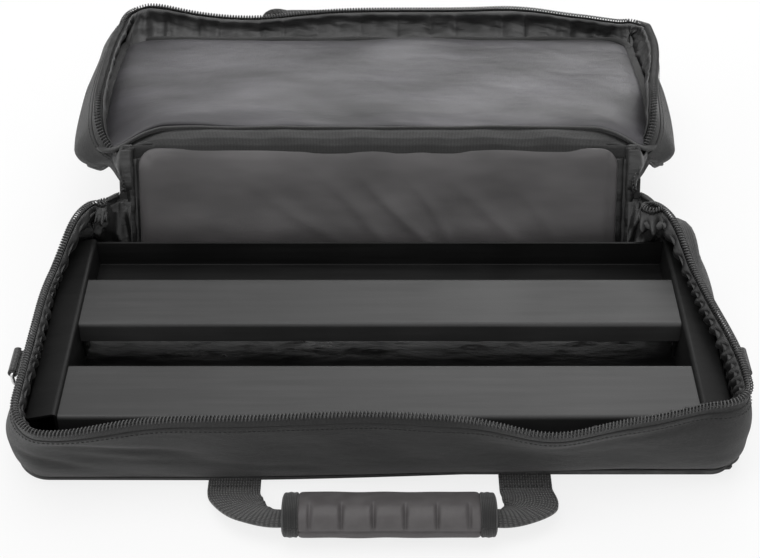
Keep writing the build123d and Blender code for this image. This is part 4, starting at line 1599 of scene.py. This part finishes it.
    def plan(self, half: float, run: Range, count: int, radius: float) -> tuple[Array, Array]:
        """A grid over the panel, from side to side and away from the hinge, as its foot is drawn in.

        Args:
            half: How far it reaches to both sides.
            run: Its nearest and furthest way from the hinge, and its rows.
            count: Its columns.
            radius: Radius of its rounded corners.

        Returns:
            Grids of x and of the way from the hinge.
        """
        x, rows = lattice((-half, half, count), run)
        x, rows = round_corners(x, rows, (-half, half, *run[:2]), radius)
        return self.drawn_in(x, rows), rows

    def turned_down(self, x: Array, run: Array, rise: Array) -> Array:
        """Points of the panel's lining, whose two corners by the hinge hang over it."""
        corner = smoothstep((np.abs(x) - 178.0) / 46.0) * (1.0 - smoothstep(run / 60.0))
        rise = rise - 11.0 * corner - 0.35 * self.droop(x, run)
        return self.laid(x, run - 9.0 * corner, rise, 0.45)

    def drawn_in(self, x: Array, run: Array) -> Array:
        """Follow the wall's foot where the sides are drawn in."""
        edge = self.inset_side(np.abs(x)) * smoothstep(run / 12.0)
        return x + edge * np.where(x < 0, self.left_inset, -self.right_inset)

    def build_panel(self) -> None:
        """The outer cloth, the foam and the satin lining, which hang down at both side edges."""
        half, depth = self.form.width / 2 - 5.6, self.form.depth
        x, run = self.plan(half, (0.6, depth - 5.6, 70), 150, 46.0)
        low = 0.5 - self.droop(x, run) + 0.8 * ripple(x, run, 110.0, 101) * (1 - (x / half) ** 4)
        cover = slab("lid_cover", self.laid(x, run, low + 1.0), self.laid(x, run, low))
        attach(cover, self.finish.outer, "outer_fabric", self.name, "lid_outer_panel")
        x, run = self.plan(half - 10.0, (15.0, depth - 10.0, 52), 110, 40.0)
        low = -self.droop(x, run)
        foam = slab("lid_padding", self.laid(x, run, low + 6.6), self.laid(x, run, low + 2.4))
        attach(foam, self.finish.foam, "foam", self.name, "lid_foam")

        skin = self.air.blow(self.pad.skin("lid_satin_panel"))
        x, run, rise = corners_of(skin.data).T
        above = smoothstep(rise / 2.4)
        slant = 0.8 * ripple((x - run) * 0.5, (x + run) * 1.1, 130.0, 111)
        slant = slant + 3.0 * bump(x + 190.0 - 1.15 * run, 0.0, 42.0)
        slant = slant - 1.6 * bump(x - 60.0 - 0.9 * run, 0.0, 36.0)
        fine = 0.14 * ripple((x - run) * 0.5, (x + run) * 1.7, 34.0, 112)
        rise = np.clip(rise + (slant + fine) * above, 0.1, 14.0) + 7.0
        set_corners(skin, self.turned_down(x, run, rise))
        attach(skin, self.finish.satin, "satin_lining", self.name, "lid_panel_lining")
        smooth_once(skin)
        self.build_binding()

    def build_binding(self) -> None:
        """The tape bound round the satin panel's edge, a flattened tube along a rounded rectangle."""
        pad, radius = self.pad, self.pad.radius
        turn = np.linspace(0, math.pi / 2, 14)
        x0, x1, y0, y1 = pad.x0 + radius, pad.x1 - radius, pad.y0 + radius, pad.y1 - radius
        loop = np.concatenate(
            [
                np.stack([x + radius * np.cos(turn + start), y + radius * np.sin(turn + start)], -1)
                for x, y, start in (
                    (x1, y1, 0.0), (x0, y1, 0.5 * math.pi), (x0, y0, math.pi), (x1, y0, 1.5 * math.pi)
                )
            ]
        )
        loop = np.concatenate([loop, loop[:1]])
        way = way_along(loop)
        s = np.linspace(0.0, way[-1], 640, endpoint=False)
        x, run = np.interp(s, way, loop[:, 0]), np.interp(s, way, loop[:, 1])
        step = unit(np.stack([np.roll(x, -1) - np.roll(x, 1), np.roll(run, -1) - np.roll(run, 1)], -1))
        rise = 8.8 + 0.6 * ripple(x, run, 55.0, 121)
        middle = self.turned_down(x, run, rise)
        side = self.turned_down(x + 3.2 * step[:, 1], run - 3.2 * step[:, 0], rise + 0.8) - middle
        up = self.turned_down(x, run, rise + 1.9) - middle
        binding = closed_tube("lid_binding_tape", tube_grid(middle, side, up, 14), wrap_u=True)
        attach(binding, self.finish.binding, "binding_tape", self.name, "lid_inner_binding")

    def build_hinge_band(self) -> None:
        """The wide binding that covers the hinge, from the back panel's top to the lid's panel."""
        way, v = np.linspace(0, 1, len(self.band_y)), np.linspace(0, 1, 25)
        y, z = np.interp(v, way, self.band_y), np.interp(v, way, self.band_z)
        v = v[None, :]
        x = np.linspace(-224.0, 224.0, 240)[:, None]
        soft = 0.5 * ripple(x + 0 * v, v * 30.0 + 0 * x, 34.0, 131)
        turned = 0.86 * smoothstep((np.abs(x) - 150.0) / 76.0) ** 1.5
        y, z = y[None, :] + 0.4 * soft, z[None, :] + soft * np.sin(math.pi * v)
        y, z = y + (184.0 - y) * turned, z + (86.0 - z) * turned
        outer = at_points(x, y, z)
        band = slab("hinge_binding_band", outer, outer + at_points(0 * x, 0.9 - 0.6 * v, -1.3 - 0.0 * v))
        attach(band, self.finish.binding, "binding_tape", self.crossing, "back_top_binding")


# ---------------------------------------------------------------------- webbing handles
@dataclass(frozen=True)
class StrapPlane:
    """The plane a handle is sewn in: its hem's middle, the way it rises and its face, as y and z."""

    origin: tuple[float, float]
    rise: tuple[float, float]
    face: tuple[float, float]

    def at(self, x: Array, v: Array, n: Array) -> Array:
        """Points of the plane: x across the case, v up the handle and n out of its face."""
        y = self.origin[0] + v * self.rise[0] + n * self.face[0]
        z = self.origin[1] + np.maximum(v, 0.0) * self.rise[1] + n * self.face[1]
        return at_points(x, y, z)

    def up(self, v: float) -> tuple[float, float]:
        """The y and z at a height v in the plane."""
        return self.origin[0] + v * self.rise[0], self.origin[1] + v * self.rise[1]


@dataclass
class WebbingStrap:
    """A flat webbing handle whose legs bend inwards and gather into a folded middle."""

    name: str
    node: str
    sewn_to: str
    body: str
    plane: StrapPlane
    finish: Finishes
    half: float = 75.1
    leg: float = 8.0
    bend: float = 30.0
    width: float = 38.0
    gathered: float = 22.0
    curl: float = 4.5
    thickness: float = 2.2
    shift: float = 0.0
    tuck: float = 0.0
    steps: int = 46
    across: int = 25

    def centreline(self) -> tuple[Array, Array, Array]:
        """The handle's middle line: x, v and heading from the left hem to the right one.

        A straight leg, a quarter circle, the straight middle and the mirror of it.
        """
        turn = np.linspace(0.0, math.pi / 2, self.steps)
        x = self.half + self.bend * np.cos(turn)
        v = self.leg + self.bend * np.sin(turn)
        leg = np.linspace(-self.tuck, self.leg, 15)[:-1]
        middle = np.linspace(self.half, 0.0, 24)[1:]
        x = np.concatenate([np.full(len(leg), self.half + self.bend), x, middle])
        v = np.concatenate([leg, v, np.full(len(middle), self.leg + self.bend)])
        heading = np.concatenate([0 * leg, turn, np.full(len(middle), math.pi / 2)])
        mirror = slice(-2, None, -1)
        return (
            np.concatenate([-x, x[mirror]]),
            np.concatenate([v, v[mirror]]),
            np.concatenate([-heading, heading[mirror]]),
        )

    def face_at(self, level: float) -> Array:
        """One face of the webbing.

        Across the strap the cloth is a shallow channel, curl u^2, that deepens as the strap narrows,
        and the inside of the bend puckers in short waves.
        """
        x, v, heading = self.centreline()
        u = np.linspace(-1.0, 1.0, self.across)[None, :]
        gather = smoothstep((np.abs(heading)[:, None] - 0.35) / 1.1)
        half = (self.width + (self.gathered - self.width) * gather) / 2
        side = np.sign(-x)[:, None] + (x == 0)[:, None]
        px = x[:, None] - side * np.cos(heading)[:, None] * u * half
        pv = v[:, None] + np.sin(np.abs(heading))[:, None] * u * half
        bent = gather * (1 - gather) * 4
        waves = np.sin(np.abs(heading)[:, None] * 17.0) * bent * (1 - smoothstep((u + 1.0) / 0.9)) * 0.8
        n = self.curl * gather * (0.45 - u**2) + waves + 0.5 * ripple(px, pv, 40.0, 141)
        n = n * smoothstep(pv / 6.0) + level
        return self.plane.at(px + self.shift * smoothstep(pv / (self.leg + self.bend)), pv, n)

    def build(self) -> None:
        """Make the webbing, its hems and the rows of stitches across both hems."""
        t = self.thickness / 2
        strap = slab(self.name, self.face_at(t), self.face_at(-t))
        hem = Crossing(self.sewn_to, self.body, self.plane.up(-2.0), self.plane.up(7.0))
        attach(strap, self.finish.webbing, "webbing", hem, self.node)
        for side, side_name in SIDES:
            x = side * (self.half + self.bend) + np.linspace(-0.92, 0.92, 30) * self.width / 2
            path = self.plane.at(x, np.full(30, -1.6), np.full(30, t + 0.1))
            normal = np.zeros_like(path) + [0.0, *self.plane.face]
            seam = stitch_row(f"{self.name}_{side_name}_stitches", path, normal, 3.2, 2.2)
            attach(seam, self.finish.thread, "webbing", self.sewn_to)
        log.info("%s is made", self.name)


@dataclass
class Grip:
    """The padded grip wrapped round the middle of the tray's handle."""

    plane: StrapPlane
    finish: Finishes
    centre: float = 38.0
    half: float = 75.0
    pad_half: float = 63.4
    width: float = 38.0
    height: float = 27.0
    grooves: int = 6
    pitch: float = 22.0
    groove_width: float = 1.8
    groove_reach: float = 8.6
    groove_depth: float = 3.6
    shift: float = 6.5
    face_tilt: float = math.radians(20.0)
    body: str = "handle"

    def ring(self, x: Array, scale: Array, grooved: bool) -> Array:
        """Rings of the grip.

        Each ring is a rounded oval, (a |cos t|^0.8, b |sin t|^0.85) with signs kept, pressed in by a
        bell at every groove and by a narrow one along the seam of the wrap.

        Args:
            x: Where the rings lie along the grip, from its middle.
            scale: Size of each ring.
            grooved: Whether the grooves and the seam are pressed in.

        Returns:
            A grid of rings by corners.
        """
        t = np.linspace(0, math.tau, 120, endpoint=False)[None, :]
        c, s = np.cos(t), np.sin(t)
        v = self.width / 2 * np.sign(c) * np.abs(c) ** 0.8 * scale[:, None]
        n = self.height / 2 * np.sign(s) * np.abs(s) ** 0.85 * scale[:, None]
        if grooved:
            middles = [(k - (self.grooves - 1) / 2) * self.pitch for k in range(self.grooves)]
            press = bells(x, tuple((1.0, middle, self.groove_width) for middle in middles))
            ct, st = math.cos(self.face_tilt), math.sin(self.face_tilt)
            out, up = v * ct + n * st, n * ct - v * st
            raised = np.exp(-(((up - 1.0) / self.groove_reach) ** 10)) * (out > 0)
            inside = smoothstep((self.pad_half - 4.0 - np.abs(x)) / 5.0)[:, None]
            out = out + raised * (2.1 * inside - self.groove_depth * press[:, None])
            out = out - 1.2 * bump(up, -9.4, 0.8) * (out > 0)
            v, n = out * ct - up * st, out * st + up * ct
            n = n + 0.25 * ripple(x[:, None] + 0 * v, t * 14.0 + 0 * v, 30.0, 151)
        return self.plane.at(x[:, None] + self.shift, self.centre + v, 0.6 + n)

    def build(self) -> None:
        """Make the moulded pad and the two bindings at its ends."""
        x = np.linspace(-self.pad_half, self.pad_half, 300)
        ends = 1.0 - 0.12 * (np.abs(x) / self.pad_half) ** 60
        pad = closed_tube("handle_grip", self.ring(x, ends, True))
        attach(pad, self.finish.grip, "grip_pad", self.body, "grip_pad", "grip_core")
        for side, side_name in SIDES:
            u = np.linspace(0.0, 1.0, 26)
            x = side * (self.pad_half - 0.4 + (self.half - self.pad_half) * u)
            scale = 0.985 - 0.22 * u**12 - 0.1 * (1 - u) ** 20 + 0.012 * np.sin(u * 16.0)
            binding = closed_tube(f"grip_binding_tape_{side_name}", self.ring(x, scale, False))
            attach(binding, self.finish.binding, "binding_tape", self.body, f"grip_binding_{side_name}")
        log.info("grip is made")


# ---------------------------------------------------------------------- rings and fittings
@dataclass
class ShoulderRings:
    """The D ring on each side of the tray and the webbing tab that holds it."""

    tray: TrayShell
    finish: Finishes
    y: float = -38.0
    bar_height: float = 46.0
    wire: float = 3.0
    tab_width: float = 25.0
    tab_thickness: float = 1.8
    tab_length: float = 16.0
    corner: float = 2.0
    clearance: float = 0.3

    @property
    def loop(self) -> float:
        """Outer radius of the tab's loop."""
        return self.wire / 2 + self.clearance + self.tab_thickness

    def ring_path(self) -> tuple[Array, Array]:
        """The wire's middle line: a straight bar, two tight corners and a half-round bow."""
        half = self.tab_width / 2 + 0.5 + self.wire / 2
        flat, quarter = half - self.corner, np.linspace(0, math.pi / 2, 8)
        bow = np.linspace(0, math.pi, 50)[1:-1]
        y = np.concatenate(
            [
                np.linspace(-flat, flat, 20)[:-1],
                flat + self.corner * np.sin(quarter),
                half * np.cos(bow),
                -flat - self.corner * np.cos(quarter),
            ]
        )
        z = np.concatenate(
            [
                np.zeros(19),
                self.corner * (np.cos(quarter) - 1),
                -self.corner - half * np.sin(bow),
                -self.corner + self.corner * np.sin(quarter),
            ]
        )
        return self.y + y, self.bar_height + z

    def build(self) -> None:
        """Make both rings and both tabs."""
        for side, side_name in SIDES:
            bar = side * (self.tray.form.width / 2 + 0.1 + self.loop)
            y, z = self.ring_path()
            path = at_points(bar, y, z)
            step = unit(np.roll(path, -1, axis=0) - np.roll(path, 1, axis=0))
            out = np.zeros_like(path) + [self.wire / 2, 0.0, 0.0]
            rings = tube_grid(path, out, np.cross(step, out), 16)
            ring = closed_tube(f"ring_{side_name}_wire", rings, wrap_u=True)
            attach(ring, self.finish.nickel, "ring_metal", f"ring_{side_name}", f"d_ring_{side_name}")
            self.build_tab(side, side_name, bar)
        log.info("rings and their tabs are made")

    def build_tab(self, side: int, side_name: str, bar: float) -> None:
        """A tab of webbing folded round the ring's bar and sewn up the tray's side.

        Args:
            side: -1 on the left, 1 on the right.
            side_name: The side's word in the names of pieces.
            bar: The x of the ring's straight bar.
        """
        rise = np.linspace(self.tab_length, 0.5, 16)
        turn = np.linspace(math.pi, 2.75 * math.pi, 40)
        line = self.tray.form.outline(1200)
        beside = np.argmin(np.abs(line.y - self.y) + 1000.0 * (line.x * side < 0))
        wall_line = self.tray.surface(line, np.linspace(0.0, 1.0, 60), 0.0)[beside]
        lean = np.interp(self.bar_height + rise, wall_line[:, 2], np.abs(wall_line[:, 0]))
        lean = side * np.minimum(lean + 0.2, self.tray.form.width / 2 + 0.1)

        def face(radius: float, thick: float) -> Array:
            """One face of the tab: up the wall, then round the bar."""
            x = np.concatenate([lean + side * thick, bar - side * radius * -np.cos(turn)])
            z = self.bar_height + np.concatenate([rise, radius * np.sin(turn)])
            y = self.y + np.linspace(-1, 1, 15) * self.tab_width / 2
            return at_points(x[:, None], y[None, :], z[:, None])

        thick = self.tab_thickness
        tab = slab(f"ring_tab_webbing_{side_name}", face(self.loop, 0.0), face(self.loop - thick, thick))
        attach(tab, self.finish.webbing, "webbing", "tray", f"ring_tab_{side_name}")


@dataclass
class HardParts:
    """The pieces whose CAD shape is shown as it is: the pedalboard, the sliders and their pulls."""

    finish: Finishes

    def build(self) -> None:
        """Give each node its finish."""
        finish = self.finish
        wanted = {
            finish.paint: ["board_slat_front", "board_slat_rear"],
            # The side plates, rear rail and brackets take the darker copy, whose darkness is painted shade.
            finish.shaded_side_paint: ["board_side_left", "board_side_right", "board_rear_rail", "slat_brackets"],
            finish.screw: ["bracket_screws"],
            finish.rubber: ["board_feet"],
            finish.zip_metal: ["zip_slider_left", "zip_slider_right", "zip_pull_left", "zip_pull_right"],
            finish.foam: ["tray_base_foam"],
        }
        for material, names in wanted.items():
            for name in names:
                coat(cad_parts[name], material)
        log.info("pedalboard, sliders and pulls are finished")


# ---------------------------------------------------------------------- stage
@dataclass(frozen=True)
class SoftBox:
    """A square lamp: where it hangs, where it points, its size in metres and its power in watts."""

    name: str
    place: Triple
    aim: Triple
    size: float
    power: float

    def hang(self) -> None:
        """Add the lamp."""
        data = bpy.data.lights.new(self.name, "AREA")
        data.shape, data.size, data.energy = "SQUARE", self.size, self.power
        lamp = bpy.data.objects.new(self.name, data)
        lamp.location = self.place
        lamp.rotation_euler = (Vector(self.aim) - Vector(self.place)).to_track_quat("-Z", "Y").to_euler()
        bpy.context.scene.collection.objects.link(lamp)


@dataclass
class Stage:
    """White floor, white surroundings, soft lamps and the camera."""

    camera_place: Triple = (0.0, -0.855, 0.8124)
    elevation: float = 40.0
    lens: float = 71.05
    sensor: float = 36.0
    floor_half: float = 6000.0
    floor_z: float = -0.4
    surround: float = 0.55
    floor_level: float = 0.93
    floor_glow: float = 0.8
    lamps: tuple[SoftBox, ...] = (
        SoftBox("overhead_softbox", (-0.2, 0.15, 1.9), (0.0, 0.1, 0.0), 1.6, 14.0),
        SoftBox("rear_softbox", (0.55, 1.9, 1.25), (0.0, 0.25, 0.1), 1.3, 14.0),
        SoftBox("left_softbox", (-1.9, -0.4, 1.1), (0.0, 0.0, 0.0), 1.1, 7.0),
        SoftBox("front_softbox", (0.7, -1.9, 1.1), (0.0, 0.0, 0.0), 1.2, 4.0),
    )

    def build(self) -> None:
        """Set everything up."""
        for lamp in self.lamps:
            lamp.hang()
        self.build_floor()
        self.build_world()
        self.build_camera()
        bpy.context.scene.view_settings.view_transform = "Standard"
        log.info("stage is set")

    def build_floor(self) -> None:
        """A matt floor that glows towards the camera, so that it stays white but takes shadows."""
        signs = np.array([[-1, -1], [1, -1], [1, 1], [-1, 1]])
        corners = at_points(*(signs.T * self.floor_half), self.floor_z)
        floor = mesh_object("studio_floor", corners, np.array([[0, 1, 2, 3]]))
        sheet = NodeSheet("studio_floor_white", Reads.SPACE)
        sheet.shader.inputs["Base Color"].default_value = (*grey(self.floor_level), 1.0)
        sheet.set(Roughness=1.0, Specular_IOR_Level=0.0)
        glow = sheet.node("ShaderNodeEmission")
        ray = sheet.node("ShaderNodeLightPath")
        blend = sheet.node("ShaderNodeMixShader")
        share = sheet.node("ShaderNodeMath", operation="MULTIPLY")
        share.inputs[1].default_value = self.floor_glow
        sheet.link(ray.outputs["Is Camera Ray"], share.inputs[0])
        sheet.link(share.outputs[0], blend.inputs[0])
        sheet.link(sheet.shader.outputs["BSDF"], blend.inputs[1])
        sheet.link(glow.outputs["Emission"], blend.inputs[2])
        output = next(n for n in sheet.tree.nodes if n.type == "OUTPUT_MATERIAL")
        sheet.link(blend.outputs["Shader"], output.inputs["Surface"])
        floor.data.materials.append(sheet.material)

    def build_world(self) -> None:
        """White where the camera looks past everything, a plain studio level for all other rays."""
        world = bpy.data.worlds.new("studio")
        bpy.context.scene.world = world
        world.use_nodes = True
        tree = world.node_tree
        background = tree.nodes["Background"]
        background.inputs["Color"].default_value = (1.0, 1.0, 1.0, 1.0)
        ray = tree.nodes.new("ShaderNodeLightPath")
        level = tree.nodes.new("ShaderNodeMapRange")
        level.inputs["To Min"].default_value = self.surround
        level.inputs["To Max"].default_value = 1.0
        tree.links.new(ray.outputs["Is Camera Ray"], level.inputs["Value"])
        tree.links.new(level.outputs["Result"], background.inputs["Strength"])

    def build_camera(self) -> None:
        """The camera, looking along +Y and down."""
        data = bpy.data.cameras.new("camera")
        data.lens, data.sensor_width = self.lens, self.sensor
        camera = bpy.data.objects.new("camera", data)
        camera.location = self.camera_place
        camera.rotation_euler = (math.radians(90.0 - self.elevation), 0.0, 0.0)
        bpy.context.scene.collection.objects.link(camera)
        bpy.context.scene.camera = camera


def handle_plane() -> StrapPlane:
    """The plane of the tray's handle, which lies forwards and rises by 20 degrees."""
    tilt = math.radians(20.0)
    return StrapPlane((-124.7, 1.6), (-math.cos(tilt), math.sin(tilt)), (math.sin(tilt), math.cos(tilt)))


def lid_strap_plane(form: CaseForm) -> StrapPlane:
    """The plane of the lid's strap, which stands up from its hem and leans back by 21 degrees."""
    hem = form.on_lid(np.array(0.0), np.array(form.depth + 1.6), np.array(4.0))
    back, up = math.sin(math.radians(21.0)), math.cos(math.radians(21.0))
    return StrapPlane((float(hem[1]), float(hem[2])), (back, up), (-up, back))


def main() -> None:
    """Build every sub-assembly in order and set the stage."""
    logging.basicConfig(level=logging.INFO, format="%(name)s: %(message)s")
    form, finish = CaseForm(), Finishes()
    tray = TrayShell(form, finish)
    tray.build()
    BackPanel(form, finish).build()
    LidShell(form, finish).build()
    plane = handle_plane()
    WebbingStrap(
        "handle_strap", "handle_webbing", "tray", "handle", plane, finish, shift=6.5, tuck=16.0
    ).build()
    Grip(plane, finish).build()
    WebbingStrap(
        "lid_strap", "lid_strap_webbing", "lid", "lid_strap", lid_strap_plane(form), finish,
        leg=3.0, bend=11.0, half=85.6, gathered=12.0,
    ).build()
    ShoulderRings(tray, finish).build()
    HardParts(finish).build()
    Stage().build()


if __name__ == "__main__":
    main()
